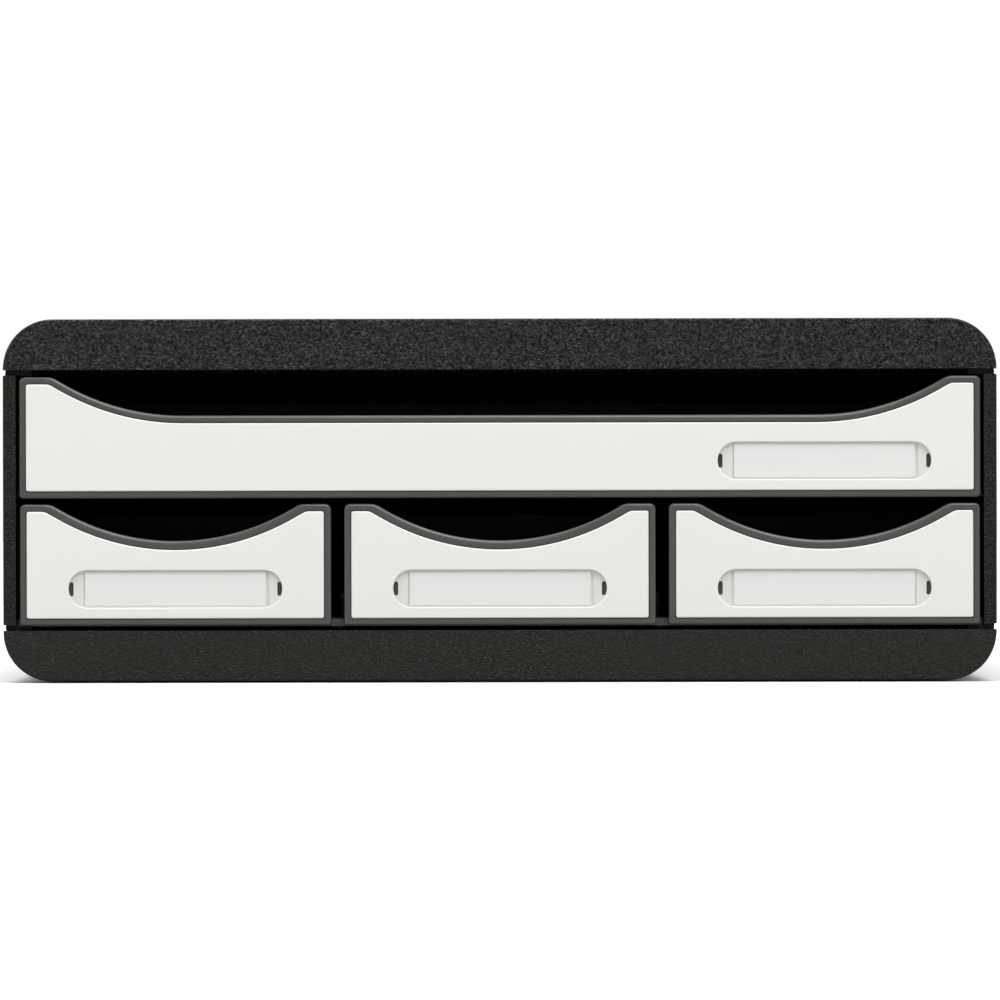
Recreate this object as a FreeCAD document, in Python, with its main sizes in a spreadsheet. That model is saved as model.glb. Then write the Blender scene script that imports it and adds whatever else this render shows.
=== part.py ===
import FreeCAD, Part
import os
import Sketcher
from FreeCAD import Vector

# A desktop drawer set: one wide drawer above three narrow ones in a moulded case.
# The origin is under the middle of the case, +X to the viewer's right, the fronts face -Y, +Z is up.
# "Forward" names a distance in front of the origin, towards the viewer, so it is a length along -Y.

document = FreeCAD.newDocument("MiniDrawers")

# Driving dimensions, in millimetres (scoop_slope in degrees, shares without a unit).
SIZES = (
    ("case_width", "355.0", "outside width over the side panels"),
    ("case_depth", "270.0", "outside depth of the caps"),
    ("foot_proud", "0.6", "how far the feet stand below the bottom cap"),
    ("cap_height", "18.1", "height of each moulded cap"),
    ("cap_side_land", "0.4", "straight stretch of a cap's end beside its big round corner"),
    ("cap_wall", "2.5", "wall of the caps"),
    ("cap_rib_wall", "1.6", "thickness of the ribs inside the caps"),
    ("cap_edge_round", "0.8", "rounding of the caps' front and rear edges"),
    ("seam_height", "2.0", "height of the seam between a side panel's outer face and a cap"),
    ("seam_inset", "0.6", "how far the seam lies inside the case's outer face"),
    ("flange_width", "9.4", "width of the side panels' flanges"),
    ("low_flange_wall", "1.45", "thickness of the flanges on the bottom cap"),
    ("flange_setback", "3.5", "how far the flanges end behind the case's front"),
    ("flange_rear_setback", "1.5", "how far the flanges end before the case's rear"),
    ("flange_round", "0.7", "rounding of a flange's outer edge"),
    ("side_wall", "4.6", "thickness of the side panels"),
    ("side_edge_round", "0.5", "rounding of a side panel's outer face"),
    ("tongue_land", "2.6", "flange left inboard of the locating tongues"),
    ("tongue_wall", "2.4", "thickness of a locating tongue"),
    ("tongue_length", "16.0", "length of a locating tongue"),
    ("tongue_height", "7.0", "how far a tongue reaches into a cap"),
    ("tongue_spacing", "88.0", "from one tongue to the next"),
    ("fit_clearance", "0.3", "running clearance between pieces that rest or slide"),
    ("ledge_reach", "5.7", "how far a drawer ledge stands out from the side panel"),
    ("ledge_wall", "2.2", "thickness of a drawer ledge"),
    ("stop_reach", "2.3", "how far a drawer stop stands out from the side panel"),
    ("stop_height", "6.0", "height of a drawer stop"),
    ("stop_length", "6.0", "length of a drawer stop"),
    ("back_wall", "2.4", "thickness of the back panel"),
    ("back_recess", "2.0", "how far the back panel lies inside the case's rear"),
    ("groove_depth", "2.0", "depth of the grooves that hold the back panel"),
    ("groove_clearance", "0.1", "play of the back panel in its grooves"),
    ("shelf_wall", "2.6", "thickness of the small-drawer shelf"),
    ("shelf_rib_wall", "2.0", "thickness of the ribs under the shelf"),
    ("shelf_rib_setback", "20.0", "how far the shelf ribs end behind its front edge"),
    ("divider_wall", "2.0", "thickness of the dividers between the small drawers"),
    ("divider_setback", "60.0", "how far the dividers start behind the shelf's front edge"),
    ("divider_front_height", "8.0", "height of a divider at its front end"),
    ("divider_rear_height", "28.5", "height of a divider at the back"),
    ("divider_rise_run", "104.0", "length of a divider's sloping top edge"),
    ("foot_radius", "7.0", "radius of a rubber foot"),
    ("foot_thickness", "1.8", "thickness of a rubber foot"),
    ("foot_round", "0.2", "rounding of a foot's lower edge"),
    ("foot_side_inset", "45.0", "from the case's side to a foot's middle"),
    ("foot_front_inset", "40.0", "from the case's front or rear to a foot's middle"),
    ("front_height", "43.4", "height of every drawer front"),
    ("front_head_gap", "0.55", "gap between the wide front and the flanges above it"),
    ("front_gap", "2.1", "gap between the wide front and the narrow ones"),
    ("large_side_gap", "1.1", "gap between the wide front and a side panel"),
    ("small_side_gap", "1.3", "gap between an outer narrow front and a side panel"),
    ("small_spacing", "4.8", "gap between two narrow fronts"),
    ("trim_setback", "0.5", "how far the drawers' rims lie behind the case's front"),
    ("front_thickness", "4.5", "thickness of a tray's front"),
    ("large_shoulder", "11.6", "straight top edge beside the wide front's scoop"),
    ("small_shoulder", "10.9", "straight top edge beside a narrow front's scoop"),
    ("large_scoop_run", "47.1", "from the wide front's straight top edge to the flat of its scoop"),
    ("scoop_slope", "29.5", "slope of a scoop at its upper ends"),
    ("scoop_arc_share", "0.9", "share of a scoop's run that is its arc"),
    ("trim_side", "2.5", "from a front's side to its white panel"),
    ("trim_foot", "2.55", "from a front's lower edge to its white panel"),
    ("trim_head", "2.6", "from a front's top edge to its white panel"),
    ("large_trim_scoop", "2.75", "from the wide scoop's edge to its white panel"),
    ("small_trim_scoop", "3.25", "from a narrow scoop's edge to its white panel"),
    ("trim_corner", "2.0", "rounding of a front's upper corners"),
    ("trim_foot_corner", "1.2", "rounding of a front's lower corners"),
    ("trim_shoulder_round", "6.0", "rounding where the top edge turns into the scoop"),
    ("trim_edge_round", "1.0", "rounding of a rim's outer edge"),
    ("panel_gap", "0.3", "gap between a rim and its white panel"),
    ("panel_recess", "2.0", "depth of the rim's recess for the white panel"),
    ("panel_proud", "0.3", "how far a white panel stands proud of its rim"),
    ("panel_corner", "0.8", "rounding of a white panel's corners"),
    ("panel_shoulder_round", "4.0", "rounding of a white panel's shoulders"),
    ("panel_edge_round", "0.5", "rounding of a white panel's front edge"),
    ("pin_radius", "1.5", "radius of the pins behind a white panel"),
    ("pin_clearance", "0.1", "play of a pin in its hole"),
    ("pin_short", "0.2", "how far a pin ends inside its hole"),
    ("large_floor_rise", "2.9", "from the wide front's lower edge to its tray's underside"),
    ("tray_wall", "2.0", "side and rear walls of the trays"),
    ("tray_floor", "2.0", "floors of the trays"),
    ("tray_inset", "1.8", "from a front's side to the tray's side"),
    ("tray_drop", "4.0", "from a front's top edge down to the tray's walls"),
    ("tray_rear_gap", "3.0", "from a closed tray to the back panel"),
    ("tray_corner", "6.0", "rounding of a tray's rear corners"),
    ("tray_floor_round", "1.5", "rounding of a tray's inside along its floor"),
    ("tray_rim_round", "0.6", "rounding of the top of a tray's walls"),
    ("lug_gap", "0.6", "from the wide tray's stop lugs to the side panels"),
    ("lug_height", "8.0", "height of a stop lug"),
    ("lug_length", "6.0", "length of a stop lug"),
    ("large_travel", "195.0", "how far the wide drawer pulls out"),
    ("small_travel", "185.0", "how far a narrow drawer pulls out"),
    ("nub_width", "8.0", "width of the stop nub under a narrow tray"),
    ("nub_length", "6.0", "length of that nub"),
    ("nub_short", "0.4", "how far that nub ends above the shelf's underside"),
    ("slot_play", "0.8", "side play of the nub in its slot"),
    ("label_width", "76.4", "width of a label recess"),
    ("label_foot_gap", "3.9", "from a white panel's lower edge to its label recess"),
    ("label_head_gap", "7.25", "from a label recess to the lowest point of the scoop above it"),
    ("label_depth", "1.2", "depth of a label recess"),
    ("label_rim_round", "0.35", "rounding of a label recess's rim"),
    ("thumb_slot_width", "1.8", "width of the slots at a label's ends"),
    ("thumb_slot_height", "4.9", "height of those slots"),
    ("card_end_gap", "4.1", "from a label card's end to the slot beside it"),
    ("card_edge_gap", "0.7", "from a label card's long edge to the recess's wall"),
    ("card_thickness", "0.25", "thickness of a label card"),
    ("window_thickness", "0.75", "thickness of a label window"),
    ("window_gap", "0.25", "gap round a label window"),
    ("window_edge_round", "0.2", "rounding of a window's front edge"),
    ("overrun", "1.0", "how far a cut runs past the face it opens"),
)

# Where things lie, worked out from the sizes. Heights are from the floor.
PLACES = (
    ("half_width", "Sizes.case_width / 2"),
    ("half_depth", "Sizes.case_depth / 2"),
    ("cap_corner", "Sizes.cap_height - Sizes.cap_side_land"),
    ("seam_low", "Sizes.foot_proud + Sizes.cap_height"),
    ("wall_low", "seam_low + Sizes.seam_height"),
    ("bay_low", "seam_low + Sizes.low_flange_wall"),
    ("small_foot", "bay_low + Sizes.fit_clearance"),
    ("small_head", "small_foot + Sizes.front_height"),
    ("large_foot", "small_head + Sizes.front_gap"),
    ("large_head", "large_foot + Sizes.front_height"),
    ("wall_high", "large_head + Sizes.front_head_gap"),
    ("seam_high", "wall_high + Sizes.seam_height"),
    ("case_top", "seam_high + Sizes.cap_height"),
    ("bay_half", "half_width - Sizes.side_wall"),
    ("flange_outer", "half_width - Sizes.seam_inset"),
    ("flange_inner", "flange_outer - Sizes.flange_width"),
    ("flange_forward", "half_depth - Sizes.flange_setback"),
    ("flange_rear", "half_depth - Sizes.flange_rear_setback"),
    ("tongue_inner", "flange_inner + Sizes.tongue_land"),
    ("socket_rib_outer", "tongue_inner - Sizes.fit_clearance"),
    ("socket_rib_run", "socket_rib_outer - half_width + cap_corner"),
    ("socket_rib_height",
     "Sizes.cap_side_land + sqrt((cap_corner - Sizes.cap_wall / 2)^2 - socket_rib_run^2)"),
    ("cross_rib_reach", "socket_rib_outer - Sizes.cap_rib_wall / 2"),
    ("cross_rib_run", "cross_rib_reach - half_width + cap_corner"),
    ("cross_rib_height",
     "Sizes.cap_side_land + sqrt((cap_corner - Sizes.cap_wall / 2)^2 - cross_rib_run^2)"),
    ("large_width", "2 * (bay_half - Sizes.large_side_gap)"),
    ("small_width", "2 * (bay_half - Sizes.small_side_gap - Sizes.small_spacing) / 3"),
    ("pitch", "small_width + Sizes.small_spacing"),
    ("trim_forward", "half_depth - Sizes.trim_setback"),
    ("front_back", "trim_forward - Sizes.front_thickness"),
    ("recess_forward", "trim_forward - Sizes.panel_recess"),
    ("panel_forward", "trim_forward + Sizes.panel_proud"),
    ("shelf_top", "bay_low + Sizes.shelf_wall"),
    ("small_floor", "shelf_top + Sizes.fit_clearance"),
    ("large_floor", "large_foot + Sizes.large_floor_rise"),
    ("ledge_top", "large_floor - Sizes.fit_clearance"),
    ("runner_forward", "front_back - Sizes.fit_clearance"),
    ("back_rear", "half_depth - Sizes.back_recess"),
    ("back_front", "back_rear - Sizes.back_wall"),
    ("runner_rear", "back_front - Sizes.fit_clearance"),
    ("tray_rear", "back_front - Sizes.tray_rear_gap"),
    ("stop_inner", "bay_half - Sizes.stop_reach"),
    ("lug_outer", "bay_half - Sizes.lug_gap"),
    ("lug_rear", "tray_rear - Sizes.tray_corner"),
    ("lug_front", "lug_rear - Sizes.lug_length"),
    ("stop_rear", "lug_front - Sizes.large_travel - Sizes.fit_clearance"),
    ("nub_front", "tray_rear - Sizes.nub_length"),
    ("slot_front", "nub_front - Sizes.small_travel - Sizes.fit_clearance"),
    ("slot_half", "Sizes.nub_width / 2 + Sizes.slot_play"),
    ("foot_recess", "Sizes.foot_thickness - Sizes.foot_proud"),
    ("foot_across", "half_width - Sizes.foot_side_inset"),
    ("foot_along", "half_depth - Sizes.foot_front_inset"),
    ("large_run", "Sizes.large_scoop_run"),
    ("small_run", "small_width / 2 - Sizes.small_shoulder"),
    ("large_flat", "large_width / 2 - Sizes.large_shoulder - large_run"),
    ("small_flat", "0"),
)

# The outlines of a front: its rim, the recess in it, and the white panel in the recess.
# Each row gives how far the outline lies inside the rim's at the side, foot, head and scoop.
LAYERS = (
    ("trim", "0", "0", "0", "0"),
    ("recess", "Sizes.trim_side - Sizes.panel_gap", "Sizes.trim_foot - Sizes.panel_gap",
     "Sizes.trim_head - Sizes.panel_gap", "Sizes.{kind}_trim_scoop - Sizes.panel_gap"),
    ("panel", "Sizes.trim_side", "Sizes.trim_foot", "Sizes.trim_head", "Sizes.{kind}_trim_scoop"),
)

# Where a label's pieces lie, worked out after the outlines of the fronts.
LABEL_PLACES = (
    ("label_floor", "panel_forward - Sizes.label_depth"),
    ("card_forward", "label_floor + Sizes.card_thickness"),
    ("window_forward", "card_forward + Sizes.window_thickness"),
    ("label_height", "small_panel_low - small_panel_foot - Sizes.label_foot_gap - Sizes.label_head_gap"),
    ("label_rise", "Sizes.trim_foot + Sizes.label_foot_gap + label_height / 2"),
    ("label_radius", "label_height / 2"),
    ("label_end", "Sizes.label_width / 2 - label_radius"),
    ("thumb_inner", "Sizes.label_width / 2 - Sizes.thumb_slot_width"),
    ("thumb_corner", "label_end + sqrt(label_radius^2 - Sizes.thumb_slot_height^2 / 4)"),
    ("window_radius", "label_radius - Sizes.window_gap"),
    ("card_half_width", "thumb_inner - Sizes.card_end_gap"),
    ("card_half_height", "label_radius - Sizes.card_edge_gap"),
)

# Where the pins of a white panel stand, as shares of half the front's width.
PIN_SHARES = {"large": (-0.93, -0.33, 0.33, 0.93), "small": (-0.85, 0.85)}
# Where the long ribs of a cap run, as shares of half its width, and its cross ribs, of half its depth.
CAP_LONG_RIB_SHARES = (-0.62, 0.0, 0.62)
CAP_CROSS_RIB_SHARES = (-0.72, -0.24, 0.24, 0.72)

def add_cell(sheet, row, alias, content):
    """Puts one named cell in a sheet."""
    sheet.set(f"A{row}", alias)
    sheet.set(f"B{row}", content)
    sheet.setAlias(f"B{row}", alias)


def build_sheets():
    """Makes the sheet of driving dimensions and the sheet of places worked out from them."""
    sizes = document.addObject("Spreadsheet::Sheet", "Sizes")
    for row, (alias, content, meaning) in enumerate(SIZES, start=1):
        add_cell(sizes, row, alias, content)
        sizes.set(f"C{row}", meaning)
    document.recompute()
    places = document.addObject("Spreadsheet::Sheet", "Places")
    formulas = list(PLACES)
    for kind in ("large", "small"):
        formulas += [
            (f"{kind}_arc", f"Sizes.scoop_arc_share * {kind}_run / sin(Sizes.scoop_slope)"),
            (f"{kind}_flank_drop", f"(1 - Sizes.scoop_arc_share) * {kind}_run * tan(Sizes.scoop_slope)"),
            (f"{kind}_scoop_depth", f"{kind}_arc * (1 - cos(Sizes.scoop_slope)) + {kind}_flank_drop"),
        ]
        for layer, side, foot, head, scoop in LAYERS:
            name = f"{kind}_{layer}"
            scoop = scoop.format(kind=kind)
            formulas += [
                (f"{name}_half", f"{kind}_width / 2 - ({side})"),
                (f"{name}_foot", f"{kind}_foot + {foot}"),
                (f"{name}_head", f"{kind}_head - ({head})"),
                (f"{name}_radius", f"{kind}_arc + {scoop}"),
                (f"{name}_low", f"{kind}_head - {kind}_scoop_depth - ({scoop})"),
                (f"{name}_flank", f"{kind}_flat + {name}_radius * sin(Sizes.scoop_slope)"),
                (f"{name}_rise", f"{name}_low + {name}_radius * (1 - cos(Sizes.scoop_slope))"),
                (f"{name}_shoulder",
                 f"{name}_flank + ({name}_head - {name}_rise) / tan(Sizes.scoop_slope)"),
            ]
    formulas += LABEL_PLACES
    for row, (alias, formula) in enumerate(formulas, start=1):
        add_cell(places, row, alias, "=" + formula)
    document.recompute()
    return sizes


sheet = build_sheets()


def value_of(expression):
    """Gives the number that an expression over the two sheets has now."""
    return float(sheet.evalExpression(expression))


def new_body(label):
    """Starts one sub-part, named for its file."""
    body = document.addObject("PartDesign::Body", label)
    body.Label = label
    return body


def new_sketch(body, name, role, offset="0"):
    """Starts a sketch on one of the body's own origin planes, moved along the plane's normal."""
    sketch = body.newObject("Sketcher::SketchObject", f"{body.Label}_{name}")
    plane = next(item for item in body.Origin.OriginFeatures if item.Role == role)
    sketch.AttachmentSupport = [(plane, "")]
    sketch.MapMode = "FlatFace"
    if offset != "0":
        sketch.setExpression("AttachmentOffset.Base.z", offset)
    return sketch


def hold_point(sketch, index, end, across, up=None):
    """Ties one point of a sketch to an expression across it and, where given, one up it.

    end is 1 for where the line or arc starts, 2 for where it ends and 3 for an arc's middle.
    """
    for kind, axis, expression in (("DistanceX", -2, across), ("DistanceY", -1, up)):
        if expression is None:
            continue
        if expression == "0":
            sketch.addConstraint(Sketcher.Constraint("PointOnObject", index, end, axis))
            continue
        value = value_of(expression)
        row = sketch.addConstraint(Sketcher.Constraint(kind, -1, 1, index, end, value))
        sketch.setExpression(f"Constraints[{row}]", expression)


def hold_radius(sketch, index, radius):
    """Ties the radius of a sketch's arc or circle to an expression."""
    row = sketch.addConstraint(Sketcher.Constraint("Radius", index, value_of(radius)))
    sketch.setExpression(f"Constraints[{row}]", radius)


def draw_outline(sketch, corners, arcs=None):
    """Draws a closed outline through corners, each a pair of expressions.

    arcs maps the number of a corner to (radius, "round" or "hollow") where the stretch that leaves
    it is an arc, with its centre inside the outline or outside it. A half circle has a third entry,
    the expression that its centre lies at across the sketch.
    """
    arcs = arcs or {}
    points = [Vector(value_of(across), value_of(up), 0) for across, up in corners]
    count = len(points)
    area = sum(points[i].x * points[(i + 1) % count].y - points[(i + 1) % count].x * points[i].y
               for i in range(count))
    ends = []
    for i, start in enumerate(points):
        finish = points[(i + 1) % count]
        if i not in arcs:
            ends.append((sketch.addGeometry(Part.LineSegment(start, finish), False), 1, 2))
            continue
        radius, side = arcs[i][:2]
        chord = finish - start
        turns_left = (area > 0) == (side == "round")
        inward = Vector(-chord.y, chord.x, 0) if turns_left else Vector(chord.y, -chord.x, 0)
        reach = value_of(radius) ** 2 - (chord.Length / 2) ** 2
        centre = (start + finish) / 2 + inward.normalize() * max(reach, 0) ** 0.5
        first, last = (start, finish) if turns_left else (finish, start)
        circle = Part.Circle(centre, Vector(0, 0, 1), value_of(radius))
        arc = Part.ArcOfCircle(circle, circle.parameter(first), circle.parameter(last))
        index = sketch.addGeometry(arc, False)
        ends.append((index, 1, 2) if turns_left else (index, 2, 1))
    for i in range(count):
        index, start_end, _ = ends[i]
        before, _, finish_end = ends[i - 1]
        sketch.addConstraint(Sketcher.Constraint("Coincident", before, finish_end, index, start_end))
        hold_point(sketch, index, start_end, *corners[i])
    for i, (radius, _, *centre) in arcs.items():
        if centre:
            hold_point(sketch, ends[i][0], 3, centre[0])
        else:
            hold_radius(sketch, ends[i][0], radius)


def draw_rectangle(sketch, left, right, low, high):
    """Draws a rectangle between four expressions."""
    draw_outline(sketch, [(left, low), (right, low), (right, high), (left, high)])


def draw_circle(sketch, across, up, radius):
    """Draws a circle about a point given by expressions."""
    centre = Vector(value_of(across), value_of(up), 0)
    index = sketch.addGeometry(Part.Circle(centre, Vector(0, 0, 1), value_of(radius)), False)
    hold_point(sketch, index, 3, across, up)
    hold_radius(sketch, index, radius)


def pad(body, sketch, length, reverse=False, symmetric=False):
    """Adds material over a sketch, along its normal unless reversed."""
    feature = body.newObject("PartDesign::Pad", f"{sketch.Label}_pad")
    feature.Profile = sketch
    feature.SideType = "Symmetric" if symmetric else "One side"
    feature.Reversed = reverse
    feature.setExpression("Length", length)
    document.recompute()
    return feature


def pocket(body, sketch, length, reverse=False):
    """Cuts material under a sketch, against its normal unless reversed, and checks that it cut."""
    before = body.Shape.Volume
    feature = body.newObject("PartDesign::Pocket", f"{sketch.Label}_pocket")
    feature.Profile = sketch
    feature.Reversed = reverse
    feature.setExpression("Length", length)
    document.recompute()
    if not body.Shape.Volume < before:
        raise RuntimeError(f"{feature.Label} cuts nothing")
    return feature


def round_edges(body, radius, test):
    """Rounds the edges of the body so far that pass a test on their points."""
    base = body.Tip
    names = []
    for number, edge in enumerate(base.Shape.Edges, start=1):
        middle = edge.valueAt((edge.FirstParameter + edge.LastParameter) / 2)
        points = [vertex.Point for vertex in edge.Vertexes] + [middle]
        if all(test(point) for point in points):
            names.append(f"Edge{number}")
    if not names:
        raise RuntimeError(f"{body.Label} has no edge to round")
    feature = body.newObject("PartDesign::Fillet", f"{body.Label}_round")
    feature.Base = (base, names)
    feature.setExpression("Radius", radius)
    document.recompute()
    return feature


def near(value, expression):
    """Says whether a coordinate lies on the value of an expression."""
    return abs(value - value_of(expression)) < 1e-4


# Case

def build_cap(label, outer, seam, outward):
    """Builds a cap between its flat outer face and its open seam; outward is 1 for up, -1 for down."""
    body = new_body(label)
    shoulder = f"{outer} - {outward} * Places.cap_corner"
    inner = f"{outer} - {outward} * Sizes.cap_wall"
    corner_across = "(Places.half_width - Places.cap_corner)"
    side_inner = "(Places.half_width - Sizes.cap_wall)"

    sketch = new_sketch(body, "outline", "XZ_Plane")
    corners = [
        ("Places.half_width", seam),
        ("-Places.half_width", seam),
        ("-Places.half_width", shoulder),
        (f"-{corner_across}", outer),
        (corner_across, outer),
        ("Places.half_width", shoulder),
    ]
    arcs = {2: ("Places.cap_corner", "round"), 4: ("Places.cap_corner", "round")}
    draw_outline(sketch, corners, arcs)
    pad(body, sketch, "Sizes.case_depth", symmetric=True)
    round_edges(body, "Sizes.cap_edge_round",
                lambda point: near(abs(point.y), "Places.half_depth") and not near(point.z, seam))

    sketch = new_sketch(body, "hollow", "XZ_Plane", "Places.half_depth - Sizes.cap_wall")
    radius = "Places.cap_corner - Sizes.cap_wall"
    open_height = f"{seam} - {outward} * Sizes.overrun"
    corners = [
        (side_inner, open_height),
        (f"-{side_inner}", open_height),
        (f"-{side_inner}", shoulder),
        (f"-{corner_across}", inner),
        (corner_across, inner),
        (side_inner, shoulder),
    ]
    draw_outline(sketch, corners, {2: (radius, "round"), 4: (radius, "round")})
    pocket(body, sketch, "Sizes.case_depth - 2 * Sizes.cap_wall")

    rib_length = "Sizes.cap_height - Sizes.cap_wall / 2"
    rib_depth = "(Places.half_depth - Sizes.cap_wall / 2)"
    sketch = new_sketch(body, "long_ribs", "XY_Plane", seam)
    for share in CAP_LONG_RIB_SHARES:
        middle = f"{share} * Places.half_width"
        draw_rectangle(sketch, f"{middle} - Sizes.cap_rib_wall / 2", f"{middle} + Sizes.cap_rib_wall / 2",
                       f"-{rib_depth}", rib_depth)
    pad(body, sketch, rib_length, reverse=outward < 0)

    sketch = new_sketch(body, "socket_ribs", "XY_Plane", seam)
    for side in (-1, 1):
        draw_rectangle(sketch, f"{side} * Places.socket_rib_outer",
                       f"{side} * (Places.socket_rib_outer - Sizes.cap_rib_wall)",
                       f"-{rib_depth}", rib_depth)
    pad(body, sketch, "Places.socket_rib_height", reverse=outward < 0)

    middle_of_wall = f"({outer} - {outward} * Sizes.cap_wall / 2)"
    side_height = f"({seam} + {outward} * Places.cross_rib_height)"
    radius = "Places.cap_corner - Sizes.cap_wall / 2"
    corners = [
        ("Places.cross_rib_reach", seam),
        ("-Places.cross_rib_reach", seam),
        ("-Places.cross_rib_reach", side_height),
        (f"-{corner_across}", middle_of_wall),
        (corner_across, middle_of_wall),
        ("Places.cross_rib_reach", side_height),
    ]
    for number, share in enumerate(CAP_CROSS_RIB_SHARES, start=1):
        sketch = new_sketch(body, f"cross_rib_{number}", "XZ_Plane", f"{share} * Places.half_depth")
        draw_outline(sketch, corners, {2: (radius, "round"), 4: (radius, "round")})
        pad(body, sketch, "Sizes.cap_rib_wall", symmetric=True)
    return body


def build_bottom_cap():
    """Builds the bottom cap with the four round seats of its feet."""
    body = build_cap("bottom_cap", "Sizes.foot_proud", "Places.seam_low", -1)
    sketch = new_sketch(body, "foot_seats", "XY_Plane", "Sizes.foot_proud")
    for across in (-1, 1):
        for along in (-1, 1):
            draw_circle(sketch, f"{across} * Places.foot_across", f"{along} * Places.foot_along",
                        "Sizes.foot_radius + Sizes.fit_clearance")
    pocket(body, sketch, "Places.foot_recess", reverse=True)
    return body


def build_side_panel(label, side):
    """Builds a side panel; side is 1 on the right and -1 on the left."""
    body = new_body(label)

    sketch = new_sketch(body, "wall", "XZ_Plane")
    draw_rectangle(sketch, f"{side} * Places.bay_half", f"{side} * Places.half_width",
                   "Places.wall_low", "Places.wall_high")
    pad(body, sketch, "Sizes.case_depth", symmetric=True)
    round_edges(body, "Sizes.side_edge_round",
                lambda point: near(point.x * side, "Places.half_width"))

    sketch = new_sketch(body, "flanges", "XZ_Plane", "-Places.flange_rear")
    for low, high in (("Places.seam_low", "Places.bay_low"), ("Places.wall_high", "Places.seam_high")):
        draw_rectangle(sketch, f"{side} * Places.flange_inner", f"{side} * Places.flange_outer", low, high)
    pad(body, sketch, "Places.flange_forward + Places.flange_rear")
    sketch = new_sketch(body, "neck", "XZ_Plane", "-Places.flange_rear")
    draw_rectangle(sketch, f"{side} * Places.bay_half", f"{side} * Places.flange_outer",
                   "Places.bay_low", "Places.wall_low")
    pad(body, sketch, "Places.flange_forward + Places.flange_rear")
    round_edges(body, "Sizes.flange_round",
                lambda point: near(point.x * side, "Places.flange_outer")
                and (near(point.z, "Places.seam_low") or near(point.z, "Places.seam_high")))

    sketch = new_sketch(body, "ledge", "XZ_Plane", "-Places.runner_rear")
    draw_rectangle(sketch, f"{side} * (Places.bay_half - Sizes.ledge_reach)",
                   f"{side} * (Places.bay_half + Sizes.side_wall / 2)",
                   "Places.ledge_top - Sizes.ledge_wall", "Places.ledge_top")
    pad(body, sketch, "Places.runner_forward + Places.runner_rear")

    sketch = new_sketch(body, "stop", "XZ_Plane", "-Places.stop_rear")
    draw_rectangle(sketch, f"{side} * Places.stop_inner", f"{side} * (Places.bay_half + Sizes.side_wall / 2)",
                   "Places.ledge_top - Sizes.ledge_wall / 2", "Places.ledge_top + Sizes.stop_height")
    pad(body, sketch, "Sizes.stop_length")

    sketch = new_sketch(body, "groove", "XY_Plane", "Places.wall_high")
    draw_rectangle(sketch, f"{side} * (Places.bay_half - Sizes.ledge_reach)",
                   f"{side} * (Places.bay_half + Sizes.groove_depth)",
                   "Places.back_front - Sizes.groove_clearance", "Places.back_rear + Sizes.groove_clearance")
    pocket(body, sketch, "Places.wall_high - Places.bay_low")

    for name, level, flange, upward in (("low_tongues", "Places.bay_low", "Sizes.low_flange_wall", False),
                                        ("high_tongues", "Places.wall_high", "Sizes.seam_height", True)):
        sketch = new_sketch(body, name, "XY_Plane", level)
        for step in (-1, 0, 1):
            middle = f"{step} * Sizes.tongue_spacing"
            draw_rectangle(sketch, f"{side} * Places.tongue_inner",
                           f"{side} * (Places.tongue_inner + Sizes.tongue_wall)",
                           f"{middle} - Sizes.tongue_length / 2", f"{middle} + Sizes.tongue_length / 2")
        pad(body, sketch, f"{flange} + Sizes.tongue_height", reverse=not upward)
    return body


def build_back_panel():
    """Builds the back panel: wide in the side grooves, narrower between the flanges."""
    body = new_body("back_panel")
    wide = "(Places.bay_half + Sizes.groove_depth - Sizes.groove_clearance)"
    narrow = "Places.flange_inner"
    low = "Places.seam_low"
    step_low = "Places.bay_low"
    step_high = "Places.wall_high"
    high = "Places.seam_high"
    sketch = new_sketch(body, "outline", "XZ_Plane", "-Places.back_rear")
    right = [(narrow, low), (narrow, step_low), (wide, step_low), (wide, step_high), (narrow, step_high),
             (narrow, high)]
    left = [(f"-{across}", up) for across, up in reversed(right)]
    draw_outline(sketch, right + left)
    pad(body, sketch, "Sizes.back_wall")
    return body


def build_shelf():
    """Builds the shelf of the small drawers with its dividers, its stop slots and its ribs."""
    body = new_body("small_drawer_shelf")
    reach = "(Places.bay_half - Sizes.fit_clearance)"

    sketch = new_sketch(body, "plate", "XY_Plane", "Places.bay_low")
    draw_rectangle(sketch, f"-{reach}", reach, "-Places.runner_forward", "Places.runner_rear")
    pad(body, sketch, "Sizes.shelf_wall")

    sketch = new_sketch(body, "slots", "XY_Plane", "Places.shelf_top")
    for step in (-1, 0, 1):
        draw_rectangle(sketch, f"{step} * Places.pitch - Places.slot_half",
                       f"{step} * Places.pitch + Places.slot_half",
                       "Places.slot_front", "Places.tray_rear + Sizes.fit_clearance")
    pocket(body, sketch, "Sizes.shelf_wall")

    sketch = new_sketch(body, "ribs", "XY_Plane", "Places.bay_low")
    for side in (-1, 1):
        middle = f"{side} * Places.pitch / 2"
        draw_rectangle(sketch, f"{middle} - Sizes.shelf_rib_wall / 2", f"{middle} + Sizes.shelf_rib_wall / 2",
                       "-(Places.runner_forward - Sizes.shelf_rib_setback)",
                       "Places.runner_rear - Sizes.shelf_rib_setback")
    pad(body, sketch, "Sizes.low_flange_wall", reverse=True)

    front = "-(Places.runner_forward - Sizes.divider_setback)"
    for name, side in (("left_divider", -1), ("right_divider", 1)):
        sketch = new_sketch(body, name, "YZ_Plane", f"{side} * Places.pitch / 2")
        corners = [
            (front, "Places.shelf_top"),
            ("Places.runner_rear", "Places.shelf_top"),
            ("Places.runner_rear", "Places.shelf_top + Sizes.divider_rear_height"),
            (f"{front} + Sizes.divider_rise_run", "Places.shelf_top + Sizes.divider_rear_height"),
            (front, "Places.shelf_top + Sizes.divider_front_height"),
        ]
        draw_outline(sketch, corners)
        pad(body, sketch, "Sizes.divider_wall", symmetric=True)
    return body


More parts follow.
